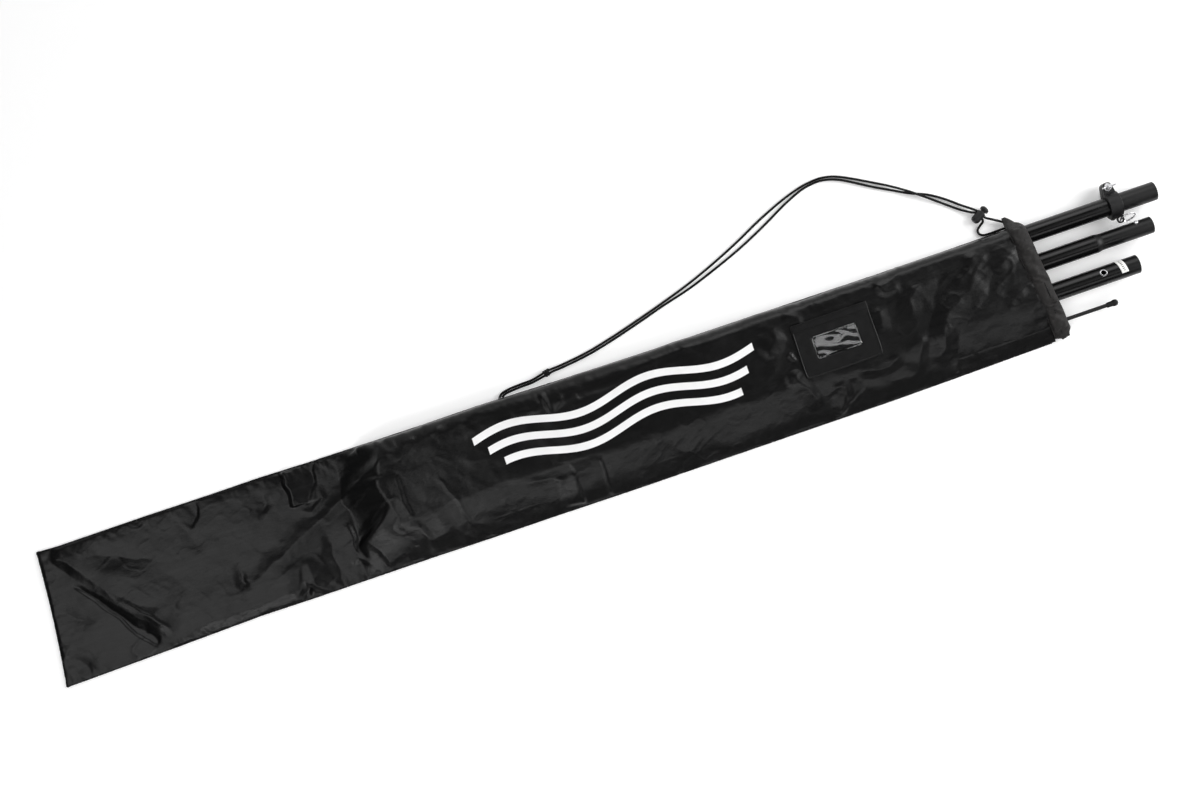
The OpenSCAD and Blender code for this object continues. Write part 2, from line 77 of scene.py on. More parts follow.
# Softboxes as (name, place, the x on the ground that they face, width, depth, power)
for name, at, faces_x, width, depth, power in (
        ("left_softbox", (-1.3, -0.15, 2.1), -0.55, 1.3, 1.5, 13),
        ("far_softbox", (1.2, 2.6, 2.2), 0.3, 2.2, 2.0, 34),
        ("near_softbox", (-0.1, -1.85, 2.0), 0.0, 3.8, 0.85, 22),
        ("near_left_softbox", (-1.42, -1.85, 2.02), -0.6, 1.0, 0.85, 8.5),
        ("right_softbox", (2.35, -0.3, 2.1), 0.6, 1.5, 2.0, 14),
        ("end_softbox", (2.9, 0.2, 1.3), 0.2, 2.0, 1.5, 80),
        ("film_card", (0.66, -0.02, 2.15), 0.33, 0.26, 0.34, 0.75)):
    light = bpy.data.lights.new(name, "AREA")
    light.shape = "RECTANGLE"
    light.size, light.size_y, light.energy = width, depth, power
    obj = place(name, light)
    obj.location = at
    obj.rotation_euler = (Vector((faces_x, 0, 0)) - Vector(at)).to_track_quat("-Z", "Y").to_euler()


# ---- sky and materials
class Nodes:
    """The node tree of the world or of a material, with the helpers that they share."""

    def __init__(self, owner):
        owner.use_nodes = True
        self.tree = owner.node_tree

    def feed(self, socket, value):
        """Links another node's output to a socket, or sets the socket's own value."""
        if isinstance(value, bpy.types.NodeSocket):
            self.tree.links.new(value, socket)
        else:
            socket.default_value = value

    def node(self, kind, **values):
        n = self.tree.nodes.new("ShaderNode" + kind)
        for key, value in values.items():
            if hasattr(n, key):
                setattr(n, key, value)
            else:
                self.feed(n.inputs[key.replace("_", " ")], value)
        return n

    def axes(self, space="UV"):
        """X, Y and Z of the UVs or of the object."""
        return self.node("SeparateXYZ", Vector=self.node("TexCoord").outputs[space]).outputs

    def noise(self, scale, detail=3.0, stretch=(1, 1, 1), uv=False):
        at = self.node("TexCoord").outputs["UV" if uv else "Object"]
        at = self.node("Mapping", Vector=at, Scale=stretch).outputs["Vector"]
        return self.node("TexNoise", Vector=at, Scale=scale, Detail=detail, Roughness=0.55).outputs["Fac"]

    def math(self, operation, *values):
        n = self.node("Math", operation=operation)
        for socket, value in zip(n.inputs, values):
            self.feed(socket, value)
        return n.outputs[0]

    def times(self, a, b):
        return self.math("MULTIPLY", a, b)

    def off(self, value, middle):
        """Distance of a value from a middle."""
        return self.math("ABSOLUTE", self.math("SUBTRACT", value, middle))

    def span(self, value, low, high, out_low, out_high, interpolation="LINEAR"):
        return self.node("MapRange", interpolation_type=interpolation, Value=value, From_Min=low, From_Max=high,
                         To_Min=out_low, To_Max=out_high).outputs["Result"]

    def band(self, value, low, high, soft=0.001):
        """1 where the value is between low and high, 0 outside."""
        return self.times(self.span(value, low - soft, low + soft, 0, 1),
                          self.span(value, high - soft, high + soft, 1, 0))


class Finish(Nodes):
    """One Principled material, kept in mat."""

    def __init__(self, name, base, roughness, **sockets):
        mat[name] = bpy.data.materials.new(name)
        super().__init__(mat[name])
        self.bsdf = self.tree.nodes["Principled BSDF"]
        self.base, self.bumps = (*base, 1), {}
        self.set(Base_Color=self.base, Roughness=roughness, **sockets)

    def set(self, **sockets):
        for key, value in sockets.items():
            self.feed(self.bsdf.inputs[key.replace("_", " ")], value)

    def bump(self, value, distance, strength=0.5):
        """Adds a height pattern to the ones before it."""
        n = self.node("Bump", Distance=distance, Strength=strength, Height=value, **self.bumps)
        self.bumps = {"Normal": n.outputs["Normal"]}
        self.set(**self.bumps)

    def grain(self, depth, scale, detail, **where):
        self.bump(self.noise(scale, detail, **where), depth)

    def rough(self, value, low, high):
        """Lets a 0 to 1 pattern move the roughness between low and high."""
        self.set(Roughness=self.span(value, 0.3, 0.7, low, high))

    def tint(self, value, other, into=None):
        """Mixes the base colour, or another colour output, towards other where value is high."""
        n = self.node("Mix", data_type="RGBA", Factor=value)
        self.feed(n.inputs[6], into or self.base)
        self.feed(n.inputs[7], (*other, 1))
        self.set(Base_Color=n.outputs[2])
        return n.outputs[2]

    def cloud(self, scale, detail, low, high, amount, gain, uv=False):
        """Tints the base colour by a gain in soft clouds."""
        pattern = self.span(self.noise(scale, detail, uv=uv), low, high, 0, amount)
        return self.tint(pattern, tuple(min(1, c * gain) for c in self.base[:3]))


world = bpy.data.worlds.new("studio")
scene.world = world
sky = Nodes(world)
towards = sky.axes("Generated")
backdrop = sky.tree.nodes["Background"].inputs
sky.feed(backdrop["Color"], (1, 1, 1, 1))
sky.feed(backdrop["Strength"], sky.math("ADD", sky.span(towards["Z"], 0.0, 0.12, 0.5, 0.045, "SMOOTHSTEP"),
                                        sky.span(towards["Y"], 0.5, 0.95, 0.0, 0.7, "SMOOTHSTEP")))
mat = {}


def floor_paper():
    f = Finish("floor_paper", (0.93, 0.93, 0.93), 0.9)
    f.set(Emission_Color=(1, 1, 1, 1), Emission_Strength=0.2)
    f.rough(f.noise(3), 0.85, 0.95)


def wave_print(f, u, v):
    """Where the three white waves are printed, with a slightly uneven ink."""
    swell = f.times(f.math("SINE", f.times(f.math("SUBTRACT", u, 0.603), TAU / 0.1945)), 0.0085)
    ends = f.math("SUBTRACT", 0.194, f.off(u, 0.7975))
    mask = None
    for middle, inset in ((0.0445, 0.0), (0.0225, 0.016), (0.0005, 0.032)):
        across = f.span(f.off(f.math("SUBTRACT", v, middle), swell), 0.0048, 0.0052, 1, 0)
        stripe = f.times(across, f.span(ends, inset, inset + 0.0006, 0, 1))
        mask = stripe if mask is None else f.math("MAXIMUM", mask, stripe)
    return f.times(mask, f.span(f.noise(900, 2, uv=True), 0.25, 0.4, 0.9, 1))


def nylon(name, printed=False):
    f = Finish(name, (0.0009, 0.0009, 0.0010), 0.4, Specular_IOR_Level=0.29)
    colour = f.cloud(24, 4, 0.35, 0.75, 0.6, 1.7, uv=True)
    rough = f.span(f.noise(60, 3, stretch=(0.25, 5, 1), uv=True), 0.3, 0.7, 0.30, 0.37)
    if printed:
        mask = wave_print(f, *f.axes()[:2])
        f.tint(mask, (0.9, 0.9, 0.9), colour)
        mixed = f.node("Mix", data_type="FLOAT", Factor=mask)
        f.feed(mixed.inputs[2], rough)
        f.feed(mixed.inputs[3], 0.55)
        rough = mixed.outputs[0]
    f.set(Roughness=rough)
    f.grain(0.0008, 75, 5, uv=True)
    f.grain(0.00032, 420, 4, stretch=(0.4, 1.6, 1), uv=True)
    f.grain(0.00006, 1500, 2, stretch=(1, 0.2, 1), uv=True)
    f.grain(0.00011, 1500, 2, stretch=(0.1, 1, 1), uv=True)


def woven(name, base, roughness, pitch, depth, cloud=0.4):
    f = Finish(name, base, roughness, Specular_IOR_Level=0.25)
    u, v = f.axes()[:2]
    warp, weft = (f.math("SINE", f.times(f.math(sign, u, v), TAU / pitch)) for sign in ("ADD", "SUBTRACT"))
    f.cloud(55, 4, 0.3, 0.75, cloud, 1.9, uv=True)
    f.rough(f.noise(160, 3, uv=True), roughness - 0.07, roughness + 0.07)
    f.grain(0.0008, 140, 4, uv=True)
    f.bump(f.math("MAXIMUM", warp, weft), depth, 0.7)


def plastic(name, base, roughness, grain=1400, depth=0.00006):
    f = Finish(name, base, roughness, Specular_IOR_Level=0.3)
    f.cloud(90, 4, 0.35, 0.75, 0.5, 2.2)
    f.rough(f.noise(260, 3), roughness - 0.07, roughness + 0.1)
    f.bump(f.noise(grain, 2), depth, 0.6)


def metal(name, base, roughness, brushed=(1, 1, 1)):
    f = Finish(name, base, roughness, Metallic=1.0)
    f.cloud(60, 4, 0.4, 0.8, 0.5, 0.72)
    f.rough(f.noise(500, 4, stretch=brushed), roughness * 0.7, roughness * 1.5)
    f.grain(0.00003, 900, 3, stretch=brushed)


def pole_paint():
    f = Finish("pole_paint", (0.0012, 0.0012, 0.0013), 0.26, Specular_IOR_Level=0.3)
    x, y = f.axes("Object")[:2]
    # Rubbed paint from x 0.69 to 0.75, and a painted highlight: the middle pole's swage cone is tinted lighter
    # and rougher to show the light band it catches.
    wear_and_highlight = f.times(f.span(x, 0.69, 0.75, 0, 1), f.span(f.noise(70, 4), 0.2, 0.6, 0.65, 1))
    swage_highlight = f.times(f.band(x, 0.6880, 0.6965), f.band(y, 0.006, 0.034))
    wear_and_highlight = f.math("MAXIMUM", wear_and_highlight, f.times(swage_highlight, 1.9))
    f.tint(wear_and_highlight, (0.0045, 0.0045, 0.0047))
    drawn = f.span(f.noise(300, 3, stretch=(0.06, 1, 1)), 0.3, 0.7, -0.04, 0.06)
    f.set(Roughness=f.math("ADD", f.span(wear_and_highlight, 0, 1, 0.22, 0.42), drawn))
    f.grain(0.00002, 650, 2)
    f.grain(0.000006, 1500, 2, stretch=(0.03, 1, 1))


def braided_cord():
    f = Finish("cord", (0.0014, 0.0014, 0.0015), 0.62, Specular_IOR_Level=0.2)
    along, round_it = f.axes()[:2]
    u, v = f.times(along, TAU / 0.0034), f.times(round_it, 4 * TAU)
    plait = f.math("MAXIMUM", *(f.math("SINE", f.math(sign, u, v)) for sign in ("ADD", "SUBTRACT")))
    # Painted sheen: the plait's raised strands are tinted lighter, where light would catch them.
    f.tint(f.span(plait, 0.2, 1, 0, 1), tuple(c * 3.2 for c in f.base[:3]))
    f.rough(f.noise(700, 3), 0.52, 0.72)
    f.bump(plait, 0.0004, 0.8)


def clear_film():
    f = Finish("clear_film", (0.93, 0.94, 0.95), 0.05, Transmission_Weight=1.0, IOR=1.5)
    f.rough(f.noise(60, 3), 0.03, 0.07)
    f.bump(f.noise(60, 2), 0.0004, 0.4)


def rod_fibreglass():
    f = Finish("rod_fibreglass", (0.006, 0.006, 0.0065), 0.35, Specular_IOR_Level=0.3)
    f.tint(f.span(f.noise(500, 3, stretch=(0.02, 1, 1)), 0.4, 0.7, 0, 0.7), (0.015, 0.015, 0.015))
    f.rough(f.noise(300, 3, stretch=(0.03, 1, 1)), 0.22, 0.4)
    f.grain(0.00003, 900, 2, stretch=(0.03, 1, 1))


def label_paper():
    """White paper with one row of plain ticks."""
    f = Finish("label_paper", (0.82, 0.82, 0.8), 0.5)
    paper = f.tint(f.span(f.noise(180, 4), 0.55, 0.8, 0, 0.4), (0.6, 0.6, 0.57))
    along, round_it = f.axes()[:2]
    rows = f.span(f.off(along, 0.0047), 0.0013, 0.0015, 1, 0)
    ticks = f.span(f.math("SINE", f.times(round_it, TAU / 0.0026)), 0.1, 0.3, 0, 1)
    inside = f.times(f.span(round_it, 0.0055, 0.0056, 0, 1), f.span(round_it, 0.0215, 0.0216, 1, 0))
    f.tint(f.times(f.times(rows, ticks), inside), (0.02, 0.02, 0.02), paper)
    f.rough(f.noise(500, 3), 0.42, 0.6)
    f.grain(0.00005, 1200, 3)


for make in (floor_paper, pole_paint, braided_cord, clear_film, rod_fibreglass, label_paper):
    make()
nylon("bag_nylon", printed=True)
nylon("bag_nylon_plain")
woven("hem_fabric", (0.0085, 0.0077, 0.0075), 0.55, 0.0011, 0.00012, 1.0)
woven("thread", (0.0024, 0.0024, 0.0026), 0.7, 0.0006, 0.0001)
woven("thread_pale", (0.42, 0.42, 0.41), 0.6, 0.0006, 0.0001)
plastic("pocket_vinyl", (0.0014, 0.0014, 0.0016), 0.38, 1000)
plastic("lock_plastic", (0.008, 0.008, 0.0086), 0.42)
plastic("clamp_plastic", (0.0048, 0.0048, 0.0052), 0.45, 1600, 0.00008)
plastic("bush_plastic", (0.010, 0.010, 0.0106), 0.5)
plastic("cap_rubber", (0.0045, 0.0045, 0.005), 0.75, 1800, 0.00008)
metal("spring_steel", (0.42, 0.42, 0.43), 0.25, (0.1, 1, 1))
metal("bright_steel", (0.88, 0.88, 0.9), 0.27)
metal("ferrule_metal", (0.66, 0.66, 0.68), 0.28, (0.05, 1, 1))

floor_mesh = bpy.data.meshes.new("floor")
floor_mesh.from_pydata([(-30, -30, 0), (30, -30, 0), (30, 30, 0), (-30, 30, 0)], [], [(0, 1, 2, 3)])
floor_mesh.materials.append(mat["floor_paper"])
floor = place("floor", floor_mesh)
floor.location.z = -0.0004


# ---- mesh helpers
def dress(obj, material, body, nodes):
    """Gives a piece its smooth shading, material, body and slot, and hides the CAD nodes it stands for."""
    obj.data.polygons.foreach_set("use_smooth", np.ones(len(obj.data.polygons), bool))
    obj.data.materials.clear()
    obj.data.materials.append(mat[material])
    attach(obj, body)
    if nodes:
        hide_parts(*nodes)
    return obj


def build(name, verts, faces, material, body, nodes=(), uv=None, sharp=None):
    """A mesh piece in metres. Its slot is named as its material."""
    mesh = bpy.data.meshes.new(name)
    mesh.from_pydata(np.reshape(verts, (-1, 3)).tolist(), [], [tuple(int(i) for i in f) for f in faces])
    obj = dress(place(name, mesh), material, body, nodes)
    if sharp is not None:
        mesh.set_sharp_from_angle(angle=math.radians(sharp))
    if uv is not None:
        loops = np.empty(len(mesh.loops), int)
        mesh.loops.foreach_get("vertex_index", loops)
        layer = mesh.uv_layers.new(name="UVMap")
        layer.data.foreach_set("uv", np.reshape(uv, (-1, 2))[loops].ravel())
    mesh.update()
    return obj


def grid_faces(rows, cols, loop_rows=False, loop_cols=False):
    r = np.arange(rows if loop_rows else rows - 1)
    c = np.arange(cols if loop_cols else cols - 1)
    r, c = np.meshgrid(r, c, indexing="ij")
    r2, c2 = (r + 1) % rows, (c + 1) % cols
    q = np.stack([r * cols + c, r2 * cols + c, r2 * cols + c2, r * cols + c2], -1)
    return q.reshape(-1, 4).tolist()


def capped_faces(rows, sides):
    """A row of rings with a cap at both ends."""
    return grid_faces(rows, sides, loop_cols=True) + [list(range(sides))[::-1],
                                                      list(range((rows - 1) * sides, rows * sides))]


def sheet(name, grid, thickness, material, body, nodes=(), uv=None, faces=None):
    """A thin piece from a grid of points in bag millimetres, with UVs from above unless others are given."""
    uv = grid[..., :2] if uv is None else uv
    obj = build(name, row(grid), faces or grid_faces(*grid.shape[:2]), material, body, nodes, uv * MM)
    solid = obj.modifiers.new("thickness", "SOLIDIFY")
    solid.thickness, solid.offset = thickness * MM, 0
    return obj


def distance(path):
    """How far each point lies along its path."""
    return np.concatenate([[0], np.cumsum(np.linalg.norm(np.diff(path, axis=0), axis=1))])


def spline(points, step, closed=False):
    """Even points along a smooth curve through the given ones."""
    p = np.asarray(points, float)
    p = np.concatenate([p[-1:], p, p[:2]] if closed else [p[:1], p, p[-1:]])
    out = []
    for a, b, c, d in zip(p, p[1:], p[2:], p[3:]):
        ab, bc, cd = (max(np.linalg.norm(q - s), 1e-6) ** 0.5 for s, q in ((a, b), (b, c), (c, d)))
        m1 = bc * ((b - a) / ab - (c - a) / (ab + bc) + (c - b) / bc)
        m2 = bc * ((c - b) / bc - (d - b) / (bc + cd) + (d - c) / cd)
        if np.allclose(a, b):
            m1 = c - b
        if np.allclose(c, d):
            m2 = c - b
        t = np.linspace(0, 1, 24, endpoint=False)[:, None]
        out.append((2 * t**3 - 3 * t**2 + 1) * b + (t**3 - 2 * t**2 + t) * m1
                   + (3 * t**2 - 2 * t**3) * c + (t**3 - t**2) * m2)
    dense = np.concatenate(out + [p[-2:-1]])
    run = distance(dense)
    at = np.linspace(0, run[-1], max(2, int(round(run[-1] / step)) + 1))
    even = np.stack([np.interp(at, run, dense[:, k]) for k in range(dense.shape[1])], 1)
    return even[:-1] if closed else even


def tube_mesh(path, radius, sides=12):
    """Closed tube round a path in metres, with UVs of distance along and turn round."""
    n = len(path)
    tangent = np.gradient(path, axis=0)
    tangent /= np.linalg.norm(tangent, axis=1)[:, None]
    side = np.cross(tangent[0], [0.1, 0.2, 1.0])
    turn = np.arange(sides)[:, None] * TAU / sides
    verts = []
    for at, ahead, r in zip(path, tangent, np.broadcast_to(radius, n)):
        side = side - ahead * (side @ ahead)
        side /= np.linalg.norm(side)
        verts.append(at + r * (np.cos(turn) * side + np.sin(turn) * np.cross(ahead, side)))
    uv = np.stack(np.meshgrid(distance(path), turn / TAU, indexing="ij"), -1).reshape(-1, 2)
    return np.concatenate(verts), capped_faces(n, sides), uv


def tube(name, path, radius, material, nodes=()):
    verts, faces, uv = tube_mesh(path, radius * MM)
    return build(name, verts, faces, material, "bag", nodes, uv, sharp=50)


def rings(profile, centre, axis, side, up, sides):
    """Rings of points round an axis, from (radius, height) pairs in bag millimetres."""
    turn = np.arange(sides)[:, None] * TAU / sides
    spoke = np.cos(turn) * side + np.sin(turn) * up
    return np.concatenate([np.asarray(centre) + np.multiply(axis, h) + r * spoke for r, h in profile])


X, Y, Z = np.eye(3)


def lathe(name, y, z, profile, material, body, nodes, sides=72, closed=True, sharp=32):
    """Turned piece about a line along X, from (radius, x) points in bag millimetres."""
    verts = rings([(max(r, 0.0005), x) for r, x in profile], (0, y, z), X, Y, Z, sides)
    faces = grid_faces(len(profile), sides, loop_rows=closed, loop_cols=True)
    return build(name, row(verts), faces, material, body, nodes, sharp=sharp)


def joined(parts):
    """One set of verts, faces and UVs from several."""
    verts, faces, uvs, base = [], [], [], 0
    for v, f, uv in parts:
        verts.append(v)
        faces += [[i + base for i in face] for face in f]
        uvs.append(uv)
        base += len(v)
    return np.concatenate(verts), faces, np.concatenate(uvs)


def stitches(name, path, length, gap, radius, material="thread"):
    """A row of separate stitches along a path in bag millimetres."""
    step = 0.4
    path = spline(path, step)
    every, used = int(round((length + gap) / step)), int(round(length / step))
    parts = []
    for i in range(0, len(path) - used, every):
        piece = path[i:i + used + 1].copy()
        arch = np.sin(np.linspace(0, math.pi, len(piece)))
        piece[:, 2] += 0.15 * arch
        parts.append(tube_mesh(row(piece), MM * radius * (0.45 + 0.55 * arch), 6))
    v, f, uv = joined(parts)
    build(name, v, f, material, "bag", (), uv)


def settle(obj):
    """Makes what the modifiers show the object's own mesh."""
    bpy.context.view_layer.update()
    mesh = bpy.data.meshes.new_from_object(obj.evaluated_get(bpy.context.evaluated_depsgraph_get()))
    obj.modifiers.clear()
    obj.data = mesh
    mesh.polygons.foreach_set("use_smooth", np.ones(len(mesh.polygons), bool))
    return mesh


def rounded_copy(node, name, voxel, material, body, passes):
    """A CAD node's shape with softened edges, as moulded and cast pieces have."""
    source = frame["nodes"][node]
    obj = place(name, source.data.copy())
    obj.matrix_world = source.matrix_world.copy()
    bpy.context.view_layer.objects.active = obj
    remesh = obj.modifiers.new("remesh", "REMESH")
    remesh.mode = "VOXEL"
    remesh.voxel_size = voxel * MM
    smooth = obj.modifiers.new("smooth", "SMOOTH")
    smooth.factor, smooth.iterations = 0.5, passes
    settle(obj).name = name
    obj.name = name
    dress(obj, material, body, (node,))


def outward(angle):
    """Direction out of a pole at an angle from +Y to +Z."""
    return np.array([0, math.cos(math.radians(angle)), math.sin(math.radians(angle))])


def drill_button_hole(obj, x, y, angle):
    path = np.array([x, y, POLE_Z]) + np.outer([6, 11, 16], outward(angle))
    v, f, _ = tube_mesh(row(path), BUTTON_HOLE_R * MM, 40)
    cutter_mesh = bpy.data.meshes.new("cutter")
    cutter_mesh.from_pydata(v.tolist(), [], f)
    cutter = place("cutter", cutter_mesh)
    b = obj.modifiers.new("hole", "BOOLEAN")
    b.object, b.operation, b.solver = cutter, "DIFFERENCE", "EXACT"
    mesh = settle(obj)
    bpy.data.objects.remove(cutter)
    mesh.set_sharp_from_angle(angle=math.radians(32))


# ---- the drawstring, as points (x, y, z), where z is CORD_Z if it is left out
STRAND_A = [
    (653.5, 89, 2.6), (657.5, 93, 2.2), (665.5, 95.5, 1.8), (685, 97), (702, 97.5),
    (714.5, 100, 3.4), (724, 102, 4.6), (733, 103, 3.4), (742, 103.5), (780.5, 108),
    (820.5, 116.5), (860.5, 127), (899.5, 138), (940, 150.5),
    (979, 165), (1019, 182), (1058, 200.5), (1098, 216.5),
    (1124, 224), (1138, 226), (1151, 226.5), (1165, 224),
    (1178, 219), (1217, 197.5), (1238, 184.5, 3.8), (1257, 171, 5.8),
    (1276, 156.5, 3.8), (1294.5, 142), (1314, 126, 2.6), (1325, 118.5, 5.2),
    (1330.5, 115.5, 6.3)]
STRAND_A_LOOP = [
    (1336.5, 105, 6.3), (1336, 101, 5.2), (1331.5, 97.5, 3.2), (1327, 93, 1.9),
    (1327, 88, 1.8), (1331, 84.5, 1.8), (1338, 83.5, 2), (1350, 83.5, 3), (1361, 83.5, 4)]
STRAND_B = [
    (657.5, 88.5, 2.6), (661, 91, 2.2), (667, 92.4, 1.8), (685, 93.7), (702, 94.2),
    (715.5, 96.5, 3.4), (724, 98, 4.6), (733.5, 99.5, 3.4), (742, 100), (781.5, 104.6),
    (821.5, 113.1), (861.5, 123.6), (900.5, 134.5), (940, 144.5),
    (979, 157.5), (1019, 172.5), (1058, 190), (1098, 210),
    (1124, 220.2), (1138, 222.7), (1150, 223.2), (1163, 220.7),
    (1176, 215.6), (1217, 191), (1238, 179.5), (1258, 168.5),
    (1278, 160), (1297.5, 147.5), (1318, 130.5, 2.6), (1329, 121.5, 5.2),
    (1333.5, 117, 6.3)]
STRAND_B_END = [(1339.5, 106.5, 6.3), (1350, 99.5, 5.6), (1361, 92.5, 4.8)]
HEM_RUN = [
    (1361, 92.5, 4.8), (1366, 88, 6.5), (1370, 83.4, 11), (1370.4, 81.8, 17.6),
    (1370.6, 78.4, 27), (1371.3, 70, 32.8), (1374.5, 40, 33.2), (1378.5, 0, 33.2),
    (1380.6, -20, 33.3), (1381.8, -31, 26.9), (1383.2, -46, 21.9), (1384.4, -58, 17.8),
    (1386, -75, 9.6), (1386.6, -80, 5.6), (1386, -75.5, 2.4), (1383.5, -50, 2.4),
    (1378.5, 0, 2.4), (1373.5, 50, 2.4), (1371.4, 74, 2.4), (1368, 81, 3), (1361, 83.5, 4)]
CORD_R, CORD_Z = 1.6, 1.7

route = STRAND_A + STRAND_A_LOOP + HEM_RUN[-2::-1] + STRAND_B_END[-2::-1] + STRAND_B[::-1]
cord_path = row(spline([(*point, CORD_Z)[:3] for point in route], 1.6))
cord = tube("drawcord", cord_path, CORD_R, "cord", ("drawcord_strand_a", "drawcord_strand_b", "drawcord_hem_run"))

# The knot: both strands wound round themselves, and one turn over the top
turn, arch = np.linspace(0, 2.25 * TAU, 90), np.linspace(0, math.pi, 24)
wraps = np.stack([(turn / turn[-1] - 0.5) * 7.0, 3.5 * np.cos(turn), 3.2 * np.sin(turn)], 1)
over = np.stack([np.linspace(-4.6, 4.6, 24), np.linspace(-2.6, 2.6, 24), 3.4 * np.sin(arch) + 0.4], 1)
lean = math.radians(12)
spin = np.array([[math.cos(lean), -math.sin(lean), 0], [math.sin(lean), math.cos(lean), 0], [0, 0, 1]])
knot_v, knot_f, knot_uv = joined([tube_mesh(row(np.array([724, 100, 5.1]) + path @ spin.T), r * MM)
                                  for path, r in ((wraps, 1.55), (over, 1.45))])
knot = build("cord_knot", knot_v, knot_f, "cord", "bag", ("strap_knot",), knot_uv)


# ---- the bag's shape
MOUTH_X = 1366
TOP_X = [0, 30, 150, 250, 310, 385, 540, 620, 740, 860, 1020, 1180, 1300, 1370]
TOP_Y = [94.5, 93, 93, 92, 92, 90, 88, 88, 85, 83, 82, 80.5, 80.5, 81]
LOW_X = [-10, 30, 150, 270, 345, 500, 585, 660, 780, 1140, 1220, 1375]
LOW_Y = [-87, -86.5, -84, -81, -82, -82, -83, -83, -84, -84, -83, -80.5]
POLE_Z, POLE_R = 17.6, 12.5
BASE_Y, MIDDLE_Y, TOP_POLE_Y = 66, 25, -18
HIDDEN_ENDS = ((BASE_Y, 485), (MIDDLE_Y, 467), (TOP_POLE_Y, 481))
ROD_Y, ROD_Z = -57, 9.6
BUTTON_HOLE_R = 3.25
NYLON_THICK = 0.35


def lattice(x, y, size_x, size_y, seed):
    """Smooth random field from -1 to 1."""
    table = np.random.default_rng(seed).uniform(-1, 1, (256, 256))
    x, y = np.asarray(x) / size_x + 40, np.asarray(y) / size_y + 40
    ix, iy = np.floor(x).astype(int), np.floor(y).astype(int)
    fx, fy = (t * t * t * (t * (t * 6 - 15) + 10) for t in (x - ix, y - iy))
    g = lambda a, b: table[(ix + a) % 256, (iy + b) % 256]
    return (g(0, 0) * (1 - fx) * (1 - fy) + g(1, 0) * fx * (1 - fy)
            + g(0, 1) * (1 - fx) * fy + g(1, 1) * fx * fy)


def wander(x, size, seed):
    """The same field along one line."""
    return lattice(x, np.asarray(x) * 0, size, 9, seed)


def smooth01(t):
    t = np.clip(t, 0, 1)
    return t * t * (3 - 2 * t)


def ridge(x, y, points, height, left, right, power=1.3, taper=0.3):
    """Fold along a line of points. left and right are how far its flanks run, in millimetres."""
    p = np.asarray(points, float)
    n = len(p)
    height, left, right = (np.broadcast_to(np.asarray(q, float), n) for q in (height, left, right))
    best, signed, along = np.full(x.shape, 1e18), np.zeros(x.shape), np.zeros(x.shape)
    for i in range(n - 1):
        a, ab = p[i], p[i + 1] - p[i]
        t = np.clip(((x - a[0]) * ab[0] + (y - a[1]) * ab[1]) / (ab @ ab), 0, 1)
        dx, dy = x - a[0] - t * ab[0], y - a[1] - t * ab[1]
        d2 = dx * dx + dy * dy
        near = d2 < best
        best = np.where(near, d2, best)
        signed = np.where(near, np.sign(ab[0] * dy - ab[1] * dx), signed)
        along = np.where(near, i + t, along)
    at = np.arange(n)
    reach = np.where(signed > 0, np.interp(along, at, left), np.interp(along, at, right))
    s = along / (n - 1)
    ends = smooth01(np.minimum(s, 1 - s) / taper)
    return np.interp(along, at, height) * ends * np.clip(1 - np.sqrt(best) / reach, 0, 1) ** power


